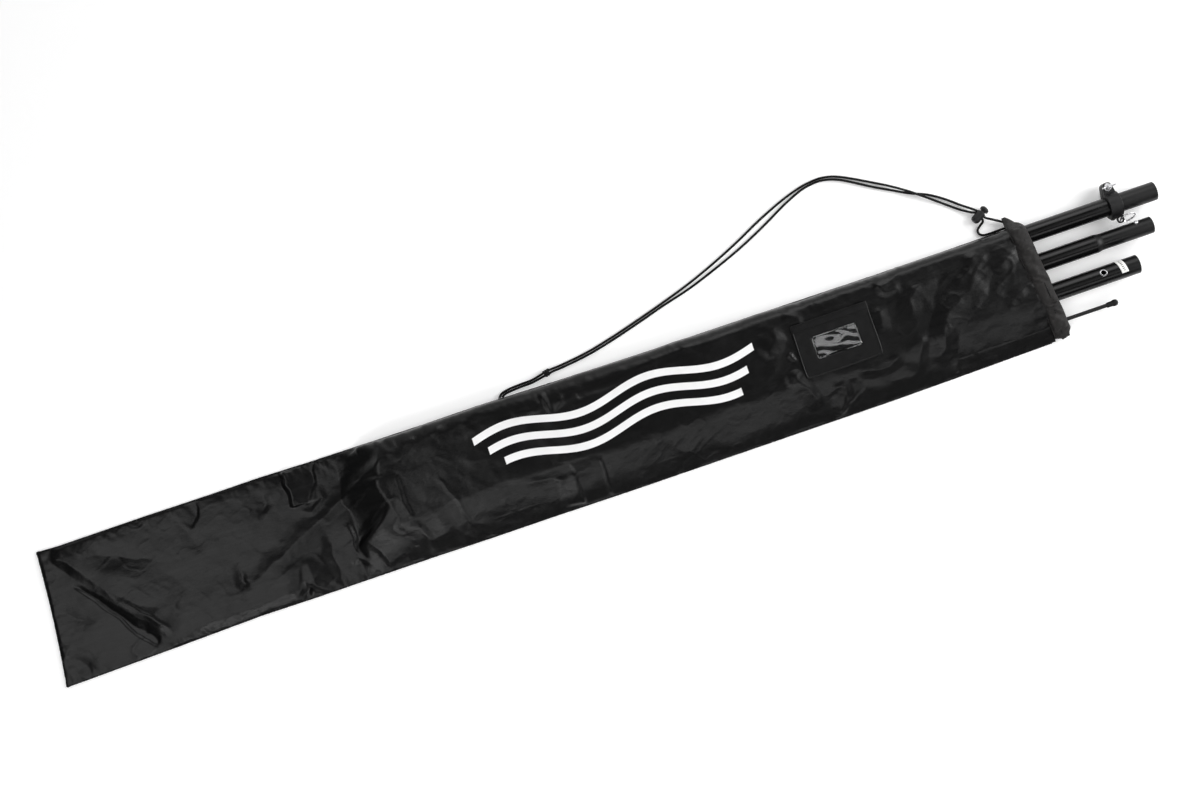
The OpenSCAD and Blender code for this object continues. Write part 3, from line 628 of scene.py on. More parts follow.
# Folds as (points, height, left flank, right flank, power, taper), where the last two may be left out
FOLDS = [
    # empty end: the pleat that runs down from the corner, and its neighbours
    ([(18, 88), (44, 61), (62, 38), (96, -12), (150, -68)], [3, 4.4, 1.9, 4.2, 6.4], [55, 65, 70, 70, 55],
     [9, 13, 11, 17, 27], 1.1, 0.1),
    ([(36, 40), (72, -6), (122, -82)], [-1.8, -4.0, -5.6], [5, 11, 20], [2.4, 2.8, 3.4], 1.1, 0.12),
    ([(92, 2), (116, -28), (146, -62)], 1.1, 5, 4),
    ([(58, 76), (110, 52), (166, 26)], [-2, -3.0, -1], 20, 30, 1.5, 0.3),
    ([(78, 20), (112, -14), (150, -34)], -2.0, 20, 24, 1.5, 0.35),
    ([(6, 20), (30, -8), (52, -20)], -1.3, 16, 18, 1.6, 0.35),
    ([(-6, -52), (12, -66), (30, -84)], -2.2, 16, 16, 1.4, 0.3),
    ([(228, 92), (220, 72), (211, 58)], [-3.4, -2.6, -0.8], 4, 22, 1.3, 0.2),
    ([(196, 76), (208, 46), (214, 14)], -1.3, 26, 18, 1.6, 0.35),
    ([(312, 82), (314, 58), (298, 34)], -2.0, 10, 26, 1.4, 0.35),
    ([(349, 94), (349, 62), (350, 38)], [5.6, 6.2, 3.6], 38, 5.0, 1.0, 0.06),
    ([(389, 92), (386, 62), (362, 36)], [-2.2, -2.5, -1.5], 5, 36, 1.0, 0.15),
    ([(352, 34), (370, 28), (388, 40), (390, 58)], 1.6, 5, 7),
    ([(245, -46), (313, -16), (379, 14), (445, 44), (480, 61), (520, 79)], [2.4, 3.8, 4.2, 4.4, 3.4, 1.5],
     [22, 22, 22, 20, 16, 10], [64, 60, 50, 36, 26, 14], 1.35, 0.15),
    ([(252, -6), (254, -30), (262, -44)], [-1.4, -2.2, -1], 6, 12, 1.3, 0.35),
    ([(128, -78), (200, -67), (306, -66), (324, -73)], [1.2, 2.9, 2.9, 1.2], 55, 15, 1.0, 0.1),
    ([(322, -84), (332, -70), (340, -62)], -3.4, 12, 6, 1.2, 0.3),
    ([(358, -84), (350, -68), (338, -62)], 3.0, 10, 7, 1.2, 0.3),
    ([(343, -20), (344, -50), (348, -82)], [2, 5.2, 5], 35, 90, 1.0, 0.35),
    ([(380, -6), (378, -34), (378, -80)], [-1, -2.2, -2.2], 24, 12, 1.1, 0.15),
    ([(406, 2), (409, -30), (412, -58)], [2.5, 3.8, 2.5], 6, 30, 1.1, 0.2),
    ([(396, -58), (408, -52), (424, -64)], 1.6, 5, 6, 1.2, 0.3),
    ([(426, -28), (452, -8), (490, 8)], [0.8, 1.3, 0.8], 12, 34, 1.2, 0.3),
    ([(426, -30), (441, -50), (452, -80)], [1.5, 2.0, 1.5], 20, 8, 1.15, 0.2),
    ([(468, 46), (467, 24), (469, 2)], 2.8, 25, 42, 1.0, 0.2),
    # over the pole ends
    ([(493, 42), (494, 8), (497, -26)], 1.6, 4.6, 14, 1.1, 0.2),
    ([(502, -26), (506, -50), (512, -82)], [1.6, 3.6, 2.2], 7, 22, 1.1, 0.25),
    ([(500, -60), (546, -50)], 3.9, 24, 26, 1.0, 0.4),
    ([(490, 60), (514, 70), (537, 82)], 1.5, 8, 12),
    ([(520, 62), (552, 74), (575, 84)], 1.2, 8, 12),
    ([(565, 66), (605, 76), (640, 84)], 1.2, 8, 12),
    ([(545, 22), (558, -20), (573, -76)], 1.1, 4, 5, 1.2, 0.2),
    ([(575, 32), (600, 20), (640, 18)], 1.2, 16, 14, 1.5, 0.35),
    # middle
    ([(709, 84), (711, 62), (714, 42)], [2.6, 2.4, 1.2], 6, 5, 1.4, 0.25),
    ([(716, 46), (728, 55), (737, 70)], 1.7, 7, 6, 1.3, 0.35),
    ([(688, 52), (700, 62), (706, 74)], 1.3, 8, 7, 1.3, 0.35),
    ([(755, 60), (760, 50)], 1.2, 5, 5, 1.4, 0.4),
    ([(714, -34), (714, -56), (713, -82)], [3.2, 4.8, 3], 4.5, 26, 1.1, 0.12),
    ([(714, -38), (753, -38)], 2.0, 14, 44, 1.0, 0.12),
    ([(754, -26), (753, -54), (752, -82)], 2.4, 4.5, 5.0, 1.4, 0.15),
    ([(640, -30), (690, -34), (706, -42)], 1.1, 8, 10),
    ([(800, 66), (900, 70), (1010, 68)], 1.3, 12, 9, 1.2, 0.3),
    ([(640, 57), (730, 58), (800, 64)], 0.9, 12, 9),
    # round the pocket
    ([(1027, 68), (1021, 44), (1011, 30), (1001, 18)], [2.6, 3.4, 3.2, 1.5], 15, 24, 1.0, 0.3),
    ([(1034, 23), (1036, 6)], 2.2, 5, 6, 1.4, 0.3),
    ([(1012, -12), (1032, -11), (1044, -38), (1054, -60)], [1.6, 3, 3, 1.6], 9, 20, 1.1, 0.2),
    ([(1092, -36), (1088, -56), (1076, -78)], 2.6, 8, 18, 1.1, 0.2),
    ([(1040, 76), (1056, 60), (1060, 44)], 1.5, 9, 9),
    ([(1100, -32), (1150, -36), (1184, -26)], 1.8, 9, 12),
    # between the pocket and the mouth
    ([(1168, 72), (1182, 55), (1204, 54)], [2.0, 3.2, 1.6], 20, 12, 1.1, 0.25),
    ([(1160, 44), (1164, 22), (1158, 2)], 2.0, 12, 18, 1.2, 0.3),
    ([(1228, 52), (1208, 34), (1196, 6)], 2.2, 14, 20, 1.1, 0.3),
    ([(1322, 64), (1303, 46), (1286, 25), (1253, 4), (1234, -18), (1230, -38), (1208, -56)],
     [1.6, 3.2, 4.0, 4.2, 4.2, 3.4, 1.6], [20, 22, 24, 24, 22, 20, 14], [18, 20, 22, 22, 20, 18, 14],
     1.0, 0.1),
    ([(1306, 66), (1290, 46), (1268, 30)], 1.5, 8, 14, 1.2, 0.25),
    ([(1206, -8), (1198, -34), (1182, -62)], 2.2, 12, 18, 1.1, 0.3),
    ([(1362, 50), (1340, 45), (1322, 32)], [2, 3.2, 2], 13, 20, 1.0, 0.25),
    ([(1360, -4), (1338, -8), (1322, -18)], 1.2, 12, 14, 1.1, 0.3),
    ([(1240, -32), (1300, -30), (1366, -34)], 0.6, 12, 24, 1.1, 0.18),
    ([(1240, -62), (1239, -80)], 1.3, 6, 6),
    ([(1262, 60), (1246, 38), (1224, 12)], -1.2, 14, 14, 1.4, 0.3),
]


def round_pole(y, radius, angles):
    """Points (y, z) on an arc round a pole, at angles in degrees from +Y to +Z."""
    return [(y + radius * out[1], POLE_Z + radius * out[2]) for out in map(outward, angles)]


def full_section(count):
    """Outside of the filled bag across, from its +Y foot to its -Y foot, by even arc length."""
    pts = [(81.5, 1.6), (81.6, 5), (80.8, 10)] + round_pole(BASE_Y, 14.4, (-12, 10, 30, 50, 68, 84))
    pts += [(59, 32.6), (52, 31.7), (45, 31.5), (34, 31.7), (22, 31.8), (8, 31.7), (-6, 31.9), (-18, 31.9),
            (-22, 31.2), (-28, 29.5), (-34, 27.3), (-42, 24.1), (-50, 20.6), (-58, 16.8), (-66, 12.4), (-76, 6.2),
            (-83, 1.6)]
    line = spline(pts, 0.2)
    return line[np.linspace(0, len(line) - 1, count).round().astype(int)]


def side_edges(x):
    return np.interp(x, TOP_X, TOP_Y), np.interp(x, LOW_X, LOW_Y)


def laid(x, y, v):
    """Where x comes to lie: the bag's ends are slanted, and the closed end bows and lies further out."""
    bow = 2.2 * np.sin(math.pi * v) * smooth01(1 - x / 60)
    return x + (0.11 - 0.21 * x / MOUTH_X) * y + bow - 5.0 * smooth01(1 - x / 400)


def smooth_bag(x, v):
    """The front panel without folds: slack at the closed end, drawn over the poles from start on."""
    top, low = side_edges(x)
    rise = np.clip(np.sin(math.pi * v), 0, 1) ** 0.45 * (0.4 * smooth01(x / 4) + 0.6 * smooth01(x / 70))
    sy, sz = top + (low - top) * v, 1.5 + 3.4 * rise
    fy, fz = (np.broadcast_to(q, x.shape) for q in full_section(x.shape[1]).T)
    fit = np.where(fy > 0, (top - 81.5) * smooth01((fy - 66) / 14), (low + 83) * smooth01((-fy - 50) / 30))
    fy = fy + fit + 3.2 * lattice(x, x * 0 + 3, 70, 9, 77) * np.exp(-((fy + 26) / 13) ** 2)
    start = np.interp(sy, [-80, -50, -18, 4, 25, 46, 66, 92], [492, 488, 480, 473, 467, 475, 484, 487])
    drop = np.interp(sy, [-80, -20, 10, 45, 90], [62, 60, 52, 60, 76]) + 4 * wander(sy, 40, 3)
    slope = np.clip((x - (start - drop)) / drop, 0, 1) ** 1.12
    terrace = 0.5 * smooth01((x - 409) / 19) + 0.5 * np.clip((x - 426) / (start - 426), 0, 1)
    lower = smooth01(0.5 - (sy + 30 - (x - 426) * 0.62) / 11)
    w = slope * (1 - lower) + terrace * lower
    wall = smooth01((sy - 50) / 25)
    y, z = sy + (fy - sy) * (w + (smooth01(1.7 * w) - w) * wall), sz + (fz - sz) * w
    return np.stack([laid(x, y, v), y, z], -1)


def fold_height(xs, x, v, xr, y):
    """How far the folds, waves, crinkle and puckers lift the smooth panel along its normal."""
    lift = np.zeros(x.shape)
    xw = xr + 2.6 * lattice(xr, y, 24, 19, 14) + 0.9 * lattice(xr, y, 9, 8, 15)
    yw = y + 2.2 * lattice(xr, y, 27, 21, 16) + 0.8 * lattice(xr, y, 8, 9, 17)
    for fold in FOLDS:
        pts, reach = np.array(fold[0]), max(np.max(fold[2]), np.max(fold[3]))
        c = (xs > pts[:, 0].min() - reach - 12) & (xs < pts[:, 0].max() + reach + 12)
        lift[c] += ridge(xw[c], yw[c], *fold)
    filled = smooth01((x - 485) / 40)
    for gap_y in (46, 3.5):
        lift -= filled * 0.28 * np.exp(-((y - gap_y) / 7.5) ** 2) * (1 + 2.0 * lattice(xr, y, 90, 60, 11))
    for flat, full, across, along, size_x, size_y, seed in (
            (0.75, 0.2, 0.4, -0.3, 62, 36, 5), (0.3, 0.1, -0.5, 0.4, 24, 15, 6),
            (0.09, 0.02, 0.3, -0.4, 8, 5.5, 7)):
        lift += (flat + full * filled) * lattice(xr + across * y, y + along * xr, size_x, size_y, seed)
    for size_x, size_y, seed, much in ((52, 30, 8, 0.75), (27, 17, 18, 0.42)):
        web = 1 - np.abs(lattice(xw + 0.8 * y, yw - 0.5 * xr, size_x, size_y, seed)) * 2.6
        lift += much * np.clip(web, 0, 1) ** 2 * np.clip(0.35 + lattice(xr, y, 110, 60, seed + 1), 0, 1)
    for edge, seed in zip(side_edges(x), (21, 22)):
        near = np.exp(-np.abs(y - edge) / 9.0) * smooth01(np.abs(y - edge) / 2.5)
        pucker = wander(xr + 0.7 * (y - edge), 7.5, seed) + 0.6 * wander(xr, 3.6, seed + 5)
        lift += near * (1.3 - 0.7 * filled) * pucker * (0.6 + 0.4 * wander(xr, 90, seed + 9))
    lift += np.exp(-x / 8.0) * smooth01(x / 2.5) * wander(y, 8, 31)
    to_mouth = MOUTH_X - x
    lift += np.exp(-to_mouth / 10.0) * 0.9 * wander(y, 7, 33) * smooth01(to_mouth / 3)
    return lift * smooth01(v / 0.02) * smooth01((1 - v) / 0.02) * smooth01(x / 5)


def bag_front(xs, count):
    """Points of the front panel in bag millimetres, as an array of len(xs) by count by 3."""
    x, v = np.meshgrid(xs, np.linspace(0, 1, count), indexing="ij")
    base = smooth_bag(x, v)
    normal = np.cross(np.gradient(base, axis=1), np.gradient(base, axis=0))
    normal /= np.maximum(np.linalg.norm(normal, axis=-1), 1e-9)[..., None]
    normal = np.where(normal[..., 2:3] < -0.2, -normal, normal)
    pts = base + normal * fold_height(xs, x, v, base[..., 0], base[..., 1])[..., None]

    # keep clear of the poles, the rod and the back panel
    for pole_y, end_x in HIDDEN_ENDS:
        dy, dz = pts[..., 1] - pole_y, pts[..., 2] - POLE_Z
        r = np.maximum(np.hypot(dy, dz), 1e-6)
        push = np.clip(POLE_R + 0.75 - r, 0, None) * smooth01((pts[..., 0] - end_x + 4) / 4)
        pts[..., 1] += dy / r * push
        pts[..., 2] += dz / r * push
    over_rod = (np.abs(pts[..., 1] - ROD_Y) < 5) & (pts[..., 0] > 486)
    pts[..., 2] = np.maximum(pts[..., 2], np.where(over_rod, 14.8, 1.35))
    return pts


STEP = 1.7
front_grid = bag_front(np.linspace(0, MOUTH_X + 3, int((MOUTH_X + 3) / STEP)), int(222 / STEP))
sheet("bag_front_shell", front_grid, NYLON_THICK, "bag_nylon", "bag", ("bag_front_panel",))

# Back panel, flat on the ground with small ripples
bx, bv = np.meshgrid(np.linspace(0, MOUTH_X + 3, 456), np.linspace(0, 1, 60), indexing="ij")
top, low = side_edges(bx)
by = top * (1 - bv) + low * bv
fade = np.minimum(1, np.minimum(bv, 1 - bv) * 14)
bz = 0.45 + 0.25 * np.clip(lattice(bx, by, 40, 26, 41) + lattice(bx, by, 12, 9, 42) * 0.5, -0.6, 1) * fade
sheet("bag_back_sheet", np.stack([laid(bx, by, bv), by, bz], -1), NYLON_THICK, "bag_nylon_plain", "bag",
      ("bag_back_panel",))

# Overlocked seam round the two sides and the closed end
long_x, across = np.linspace(MOUTH_X - 2, 0, 240), np.linspace(1, 0, 26)[1:-1]
edges = [(long_x, side_edges(long_x)[0], 0), (across * 0, LOW_Y[0] + (TOP_Y[0] - LOW_Y[0]) * across, across),
         (long_x[::-1], side_edges(long_x[::-1])[1], 0)]
outline = spline(np.concatenate([np.stack([laid(x, y, v), y, y * 0 + 1.3], 1) for x, y, v in edges]), 0.55)
arc_len = np.arange(len(outline)) * 0.55
irregular = wander(arc_len, 3.1, 51)
outline[:, 2] += 0.15 * irregular
thread_r = 0.85 + 0.28 * (0.5 + 0.5 * np.sin(TAU * arc_len / 2.3)) + 0.12 * irregular
overlock_v, overlock_f, overlock_uv = tube_mesh(row(outline), MM * thread_r, 8)
build("overlocked_seam", overlock_v, overlock_f, "thread", "bag", (), overlock_uv)


# ---- hem round the mouth
hem_points = [(80.4, 7.4)] + round_pole(BASE_Y, 13.8, (-12, 10, 35, 60, 80)) + [(46, 31.2), (25, 31.5), (4, 31.2)]
hem_points += round_pole(TOP_POLE_Y, 13.8, (95, 125, 148))
hem_points += [(-44, 20.4), (-57, 16.4), (-68, 11), (-76.5, 6.4), (-74, 4.9), (-50, 4.6), (-10, 4.6), (30, 4.6),
               (66, 4.6), (78, 5.2)]
hem_line = spline(hem_points, 1.5, closed=True)
hem_t = np.roll(hem_line, -1, axis=0) - np.roll(hem_line, 1, axis=0)
hem_t /= np.linalg.norm(hem_t, axis=1)[:, None]
hem_n = np.stack([hem_t[:, 1], -hem_t[:, 0]], 1)
hem_n *= np.sign(hem_n[np.argmax(hem_line[:, 1]), 1])
HEM_W = 25.0
across = np.linspace(0, 1, 22)
outer = 0.7 + 3.5 * np.clip(np.sin(math.pi * across), 0, 1) ** 0.62
outer -= 0.9 * np.exp(-((across - 0.1) / 0.035) ** 2)
profile_x = np.concatenate([across, across[::-1]]) * HEM_W
profile_h = np.concatenate([outer, across * 0])
arc = (np.arange(len(hem_line)) * 1.5)[:, None]
y0, z0 = hem_line[:, :1], hem_line[:, 1:]
gather = 0
for much, skew, size_x, size_y, seed in ((1.5, 0.3, 11, 60, 61), (1.3, -0.4, 5, 11, 62), (0.5, 0.6, 2.6, 6, 64)):
    gather = gather + much * lattice(arc + skew * profile_x, arc * 0 + profile_x, size_x, size_y, seed)
h = profile_h + np.where(profile_h > 0.1, np.maximum(gather, -0.7) * np.clip(profile_h / 3, 0, 1), 0)
y, z = y0 + hem_n[:, :1] * h, z0 + hem_n[:, 1:] * h
x = MOUTH_X - 0.1 * y0 + profile_x * (1 + 0.027 * wander(arc, 16, 63))
# The corner that the drawstring draws out to a peak
peak = smooth01((y0 - 68) / 13) * smooth01((1 - (z0 - 4) / 24))
pull = peak * np.clip(1 - (x - 1363) / 22, 0, 1) ** 0.9
y, z = y + pull * (98.5 - y), z + pull * (4.8 - z) * 0.72
x = x + pull * 0.5 - peak * 9 * np.clip((profile_x - 5) / 20, 0, 1)
x = x - smooth01((-y0 - 66) / 10) * 5.0 * np.clip((profile_x - 14) / 11, 0, 1) ** 2
x = x - 3.2 * np.clip((z - 18) / 14, -0.7, 1)
hem_grid = np.stack([x, y, np.maximum(z, 0.75)], -1)
hem_uv = np.stack(np.broadcast_arrays(arc, profile_x), -1) * MM
build("mouth_hem_gathered", row(hem_grid), grid_faces(*x.shape, True, True), "hem_fabric", "bag",
      ("mouth_hem",), hem_uv, sharp=60)
stitches("hem_stitch_row", hem_grid[hem_n[:, 1] > 0.1, 2][2:-2:3] + [0, 0, 0.5], 2.4, 0.9, 0.32)


# ---- card pocket
POCKET = np.array([1045, -20])
POCKET_L, POCKET_H, POCKET_Z = 104.5, 72, 32.1
WIN_X, WIN_Y, WIN_L, WIN_H = 21.5, 20, 62, 31


def on_pocket(x, y, height):
    """Points over the pocket's corner, which follow the waves of the fabric below."""
    x, y = x + POCKET[0], y + POCKET[1]
    wave = 0.5 * lattice(x, y, 34, 24, 71) + 0.22 * lattice(x, y, 12, 9, 72)
    return np.stack([x, y, POCKET_Z + height + wave], -1)


def pocket_plate(name, x0, y0, length, height, z, thick, nodes=(), window=False, step=2.0):
    xs, ys = (np.linspace(at, at + size, int(size / step) + 1) for at, size in ((x0, length), (y0, height)))
    gx, gy = np.meshgrid(xs, ys, indexing="ij")
    faces = grid_faces(*gx.shape)
    if window:
        hx, hy = gx.ravel() - WIN_X, gy.ravel() - WIN_Y
        faces = [f for f in faces if not (-1e-6 < hx[f].mean() < WIN_L and 0 < hy[f].mean() < WIN_H)]
    obj = sheet(name, on_pocket(gx, gy, z), thick, "pocket_vinyl", "bag", nodes, faces=faces)
    edge = obj.modifiers.new("edge", "BEVEL")
    edge.width, edge.segments, edge.limit_method, edge.angle_limit = 0.25 * MM, 2, "ANGLE", math.radians(50)


pocket_plate("pocket_backing", 0, 0, POCKET_L, POCKET_H, 0.5, 0.6, ("id_pocket_backing",))
pocket_plate("pocket_frame", 0, 0, POCKET_L, POCKET_H, 1.7, 0.8, ("id_pocket_frame",), window=True, step=1.0)
pocket_plate("pocket_top_binding", -0.5, POCKET_H - 10, POCKET_L + 1, 10.5, 2.7, 0.9)

# Film behind the window, crinkled where the frame does not hold it
fx, fy = np.meshgrid(np.linspace(WIN_X - 3.5, WIN_X + WIN_L + 3.5, 143),
                     np.linspace(WIN_Y - 3.5, WIN_Y + WIN_H + 3.5, 79), indexing="ij")
film = on_pocket(fx, fy, 0)
cx, cy = film[..., 0], film[..., 1]
crinkle = 0.46 * lattice(cx + 0.6 * cy, cy + 0.3 * cx, 38, 11, 85) + 0.08 * lattice(cx, cy, 17, 8, 83)
from_x, from_y = (np.minimum(q - q.min(), q.max() - q) for q in (fx, fy))
hold = smooth01((from_x - 3) / 3.5) * smooth01((from_y - 3) / 3)
film[..., 2] = POCKET_Z + 1.05 + 0.5 * (film[..., 2] - POCKET_Z) + (0.6 + crinkle) * hold
sheet("pocket_window_film", film, 0.2, "clear_film", "bag", ("id_pocket_window",))

# Piping round three sides, and the stitches
corner = [(0.8, POCKET_H - 3), (0.8, 3), (1.6, 1.4), (4, 0.8)]
rim_line = spline(corner + [(POCKET_L - x, y) for x, y in corner[::-1]], 1.5)
tube("pocket_rim_piping", row(on_pocket(*rim_line.T, 1.6)), 1.1, "pocket_vinyl")
left, right, foot, head = 2.2, POCKET_L - 2.2, 2.2, POCKET_H - 1.6
for name, a, b, z in (
        ("low", (left, foot), (right, foot), 2.15), ("left", (left, foot), (left, head - 9), 2.15),
        ("right", (right, foot), (right, head - 9), 2.15), ("top_0", (left, head), (right, head), 3.2),
        ("top_1", (left, head - 7.4), (right, head - 7.4), 3.2)):
    stitches(f"pocket_stitch_{name}", on_pocket(*np.linspace(a, b, 40).T, z), 2.4, 0.8, 0.3)

# Tab that holds the strap's ends in the side seam, with its bar tack
ca, sa = math.cos(math.radians(-42)), math.sin(math.radians(-42))
tu, tv = np.meshgrid(np.linspace(-5, 5, 12), np.linspace(-6, 2, 10), indexing="ij")
tab = np.stack([655 + ca * tu - sa * tv, 84.6 + sa * tu + ca * tv, 2.1 + 1.9 * np.cos(0.22 * tu)], -1)
sheet("strap_anchor_fold", tab, 0.6, "bag_nylon_plain", "bag", ("strap_anchor_tab",))
stitches("strap_bar_tack", np.linspace((661.5, 86.8, 4.9), (667.5, 84.2, 4.9), 12), 1.8, 0.4, 0.55,
         "thread_pale")


# ---- cord lock
rounded_copy("cord_lock_barrel", "cord_lock_body", 0.3, "lock_plastic", "bag", 5)
rounded_copy("cord_lock_plunger", "cord_lock_button", 0.3, "lock_plastic", "lock_plunger", 5)

# ---- poles
SPIGOT_R, SPIGOT_BORE, SOCKET_R, BORE = 11.2, 9.8, 11.35, 11.1
SPIGOT, SWAGE, SOCKET = 71, 8, 60


def lip(mouth, d):
    """The rounded edge of a tube whose mouth is at x and which runs from there in direction d."""
    return [(SOCKET_R, mouth + d * 0.35), (SOCKET_R + 0.35, mouth), (POLE_R - 0.3, mouth),
            (POLE_R, mouth + d * 0.3)]


def pole(name, y, mouth, spigot_end, body, node):
    """A tube with a rounded lip at its socket and a swaged, reduced end."""
    d = 1 if spigot_end > mouth else -1
    shoulder = spigot_end - d * SPIGOT
    outer = lip(mouth, d)
    outer += [(POLE_R, mouth + d * 40 * k) for k in range(1, 24)]
    outer = [p for p in outer if d * (shoulder - d * (SWAGE + 2) - p[1]) > 0]
    outer += [(POLE_R + (SPIGOT_R - POLE_R) * float(smooth01(t)), shoulder - d * SWAGE * (1 - t))
              for t in np.linspace(0, 1, 9)]
    outer += [(SPIGOT_R, shoulder + d * 30), (SPIGOT_R, spigot_end - d * 0.6), (SPIGOT_R - 0.5, spigot_end),
              (SPIGOT_BORE + 0.2, spigot_end), (SPIGOT_BORE, spigot_end - d * 0.3), (SPIGOT_BORE, shoulder),
              (BORE, shoulder - d * SWAGE), (BORE, mouth + d * SOCKET), (SOCKET_R, mouth + d * SOCKET)]
    return lathe(name, y, POLE_Z, outer, "pole_paint", body, (node,))


BASE_BUTTON, MIDDLE_BUTTON, EYELET = (506, BASE_Y, 180), (1521, MIDDLE_Y, 38), (1458, TOP_POLE_Y, 72)
base_tube = pole("base_pole_body", BASE_Y, 1560, 485, "base_pole", "base_pole_tube")
middle_tube = pole("middle_pole_body", MIDDLE_Y, 467, 1542, "middle_pole", "middle_pole_tube")
plain = lip(1508, -1) + [(POLE_R, x) for x in range(1470, 500, -40)]
plain += [(POLE_R, 483.3), (POLE_R - 0.3, 483), (BORE, 483), (BORE, 1448), (SOCKET_R, 1448)]
top_tube = lathe("top_pole_body", TOP_POLE_Y, POLE_Z, plain, "pole_paint", "top_pole", ("top_pole_tube",))
drill_button_hole(base_tube, *BASE_BUTTON)
drill_button_hole(middle_tube, *MIDDLE_BUTTON)
drill_button_hole(middle_tube, 517, MIDDLE_Y, 180)
drill_button_hole(top_tube, *EYELET)


def snap_button(name, x, y, angle, body, node):
    """Sprung button with a rounded head, from its flange inside the pole outwards."""
    stem = SPIGOT_R + 3 - 1.4
    prof = [(4, 6.6), (4, 7.5), (3.9, 7.6), (3, 7.65), (3, stem)]
    prof += [(3 * math.cos(t), stem + 1.4 * math.sin(t)) for t in np.linspace(0.1, 1.5, 9)]
    out = outward(angle)
    verts = rings(prof, (x, y, POLE_Z), out, X, np.cross(X, out), 40)
    faces = grid_faces(len(prof), 40, loop_cols=True)
    faces += [list(range(40)), list(range((len(prof) - 1) * 40, len(prof) * 40))[::-1]]
    build(name, row(verts), faces, "bright_steel", body, (node,), sharp=40)


snap_button("base_button_head", *BASE_BUTTON, "base_button", "base_snap_button")
snap_button("middle_button_head", *MIDDLE_BUTTON, "middle_button", "middle_snap_button")

# Eyelet: a rolled rim that follows the round of the pole
out = outward(EYELET[2])
roll, turn = np.arange(14)[:, None] * TAU / 14, np.arange(64) * TAU / 64
ring_r = 4.1 + 0.85 * np.cos(roll)
across = ring_r * np.sin(turn)
depth = np.sqrt(POLE_R**2 - across**2) + 0.28 + 0.34 * np.sin(roll)
rim = np.stack([EYELET[0] + ring_r * np.cos(turn), TOP_POLE_Y + depth * out[1] - across * out[2],
                POLE_Z + depth * out[2] + across * out[1]], -1)
build("eyelet_rim", row(rim), grid_faces(14, 64, True, True), "spring_steel", "top_pole",
      ("top_pole_eyelet",))

# Label wrapped on the pole, a little loose at its edge
ga, gt = np.meshgrid(np.radians(np.linspace(6, 114, 44)), np.linspace(0, 9.5, 12), indexing="ij")
label_r = POLE_R + 0.12 + 0.10 * np.exp(-gt / 1.5)
label_x = 1477.5 + gt + 1.9 * (ga - 0.1)
label = np.stack([label_x, TOP_POLE_Y + label_r * np.cos(ga), POLE_Z + label_r * np.sin(ga)], -1)
sheet("pole_label", label, 0.15, "label_paper", "top_pole", ("top_pole_label",), np.stack([gt, POLE_R * ga], -1))

# ---- clamp
CLAMP_X, EAR_Y, BOLT_TOP = 1502, 90.5, POLE_Z + 14.5
rounded_copy("clamp_band", "clamp_body", 0.3, "clamp_plastic", "clamp", 3)
rounded_copy("clamp_wing_nut", "wing_nut_cast", 0.22, "bright_steel", "wing_nut", 5)
ring_c = np.array([CLAMP_X + 14, BASE_Y - 21.5, POLE_Z])
ring_up, ring_axis = outward(66), outward(156)
turn = np.arange(96)[:, None] * TAU / 96
spoke = np.cos(turn) * X + np.sin(turn) * ring_up
round_wire = [math.cos(a) * spoke + math.sin(a) * ring_axis for a in np.arange(20) * TAU / 20]
wire = [ring_c + 10 * spoke + 1.1 * away for away in round_wire]
build("tether_ring_wire", row(np.concatenate(wire)), grid_faces(20, 96, True, True), "bright_steel", "ring",
      ("tether_ring",))

# Bolt with a real thread and a hexagon head
head_z = POLE_Z - 11.7
zz, tt = np.meshgrid(np.linspace(head_z + 3.5, BOLT_TOP, 220), np.arange(32) * TAU / 32, indexing="ij")
cut = 0.34 * (1 - np.abs(2 * np.mod(zz / 0.8 - tt / TAU, 1) - 1)) * smooth01((zz - POLE_Z - 1) / 2)
rr = (2.5 - cut) * (0.8 + 0.2 * np.clip((BOLT_TOP - zz) / 0.8, 0, 1))
thread = np.stack([CLAMP_X + rr * np.cos(tt), EAR_Y + rr * np.sin(tt), zz], -1).reshape(-1, 3)
head = rings([(4.2, 0), (4.6, 0.4), (4.6, 3.5)], (CLAMP_X, EAR_Y, head_z), Z, X, Y, 6)
thread_f = grid_faces(220, 32, loop_cols=True) + [list(range(219 * 32, 220 * 32))]
bolt_f = thread_f + [[i + 220 * 32 for i in f] for f in capped_faces(3, 6)]
bolt_v = np.concatenate([thread, head])
build("clamp_bolt_threaded", row(bolt_v), bolt_f, "bright_steel", "clamp", ("clamp_bolt",), sharp=30)

washer = [(2.56, 0.1), (2.7, 0), (4.8, 0), (5, 0.15), (5, 0.65), (4.8, 0.8), (2.7, 0.8), (2.56, 0.7)]
build("clamp_washer_round", row(rings(washer, (CLAMP_X, EAR_Y, POLE_Z + 5.0), Z, X, Y, 64)),
      grid_faces(len(washer), 64, True, True), "bright_steel", "clamp", ("clamp_washer",), sharp=40)

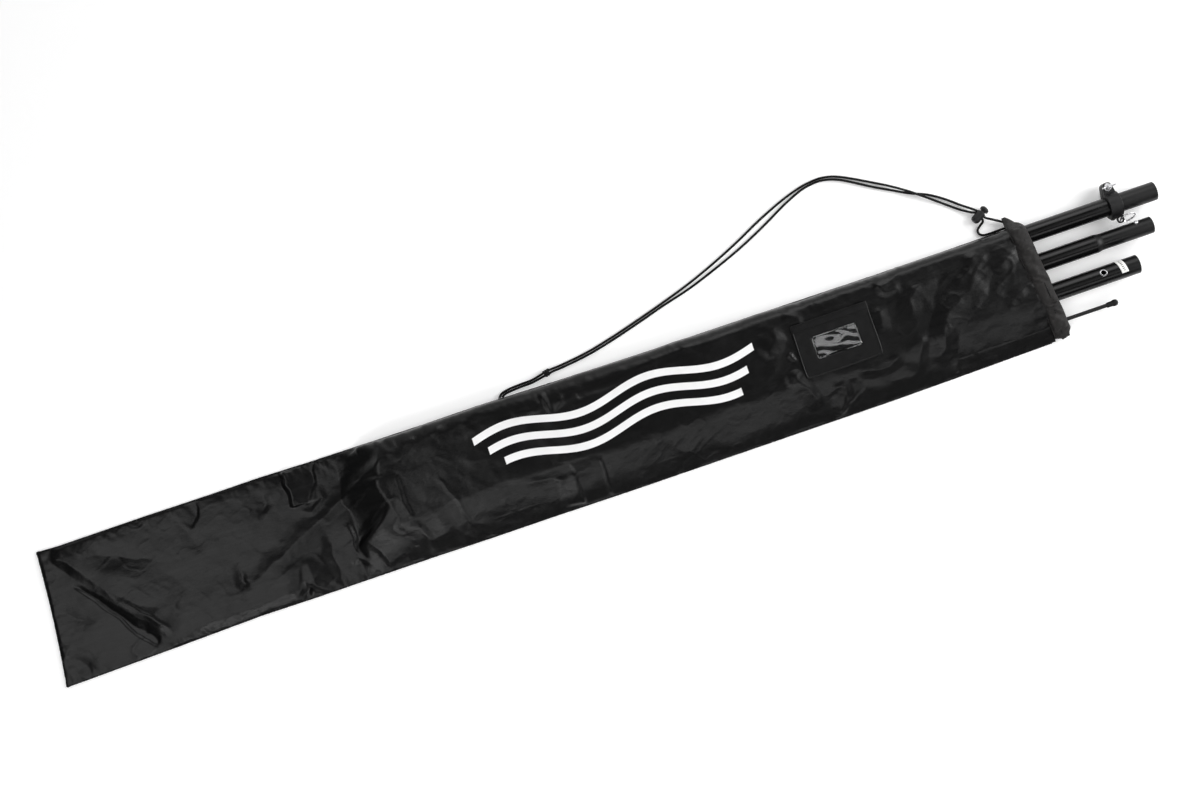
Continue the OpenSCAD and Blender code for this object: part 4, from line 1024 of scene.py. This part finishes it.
# ---- tip rod
shaft = [(0.01, 492), (2.6, 492), (2.6, 800), (2.6, 1100), (2.6, 1466), (0.01, 1466)]
lathe("tip_rod_shaft", ROD_Y, ROD_Z, shaft, "rod_fibreglass", "rod", ("tip_rod",), sides=32, closed=False)
cap = [(2.62, 1454), (3.3, 1454.1), (3.5, 1455), (3.7, 1461), (3.95, 1462.2), (4.3, 1463), (4.5, 1464.4),
       (4.5, 1465.8), (4.3, 1467), (3.7, 1468.2), (2.6, 1469.2), (1.2, 1469.8), (0.01, 1470)]
lathe("tip_rod_end_cap", ROD_Y, ROD_Z, cap, "cap_rubber", "rod", ("tip_rod_cap",), 48, closed=False, sharp=60)


# ---- springs, laid along their buttons' press axes
def pressed_spring(node, name, body, joint, coil=None):
    """A spring between its free and fixed ends along its joint's axis, rebuilt as a helix when coil is given.
    coil is wire radius, coil radius and turns.
    """
    source = frame["nodes"][node]
    matrix = np.array(source.matrix_world)
    verts = np.array([v.co for v in source.data.vertices]) @ matrix[:3, :3].T + matrix[:3, 3]
    faces = [list(f.vertices) for f in source.data.polygons]
    facts = next(j for j in frame["joints"] if j["name"] == joint)
    axis = np.array(facts["axis"], float)
    axis /= np.linalg.norm(axis)
    along = verts @ axis
    fixed, free = along.max(), along.min()
    middle = verts.mean(axis=0)
    centre = middle - axis * (middle @ axis)
    if coil:
        wire, coil_r, turns = coil
        side = np.cross(axis, Z)
        side /= np.linalg.norm(side)
        angle = np.linspace(0, TAU * turns, int(turns * 40))[:, None]
        reach = np.linspace(free + wire * MM, fixed - wire * MM, len(angle))[:, None]
        spoke = np.cos(angle) * side + np.sin(angle) * np.cross(axis, side)
        helix = centre + axis * reach + coil_r * MM * spoke
        verts, faces, _ = tube_mesh(helix, wire * MM)
    obj = build(name, verts, faces, "spring_steel", body, (node,), sharp=35)
    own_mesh(obj)


pressed_spring("cord_lock_spring", "cord_lock_coil", "bag", "cord_lock_press", coil=(0.42, 2.6, 4.25))
for end in ("base", "middle"):
    pressed_spring(f"{end}_button_spring", f"{end}_button_leaf", f"{end}_pole", f"{end}_button_press")

# CAD nodes whose shape is right keep it and get their finish
for node, finish in (("rod_socket_bush", "bush_plastic"), ("tip_rod_ferrule", "ferrule_metal")):
    for s in frame["nodes"][node].material_slots:
        s.material = mat[finish]
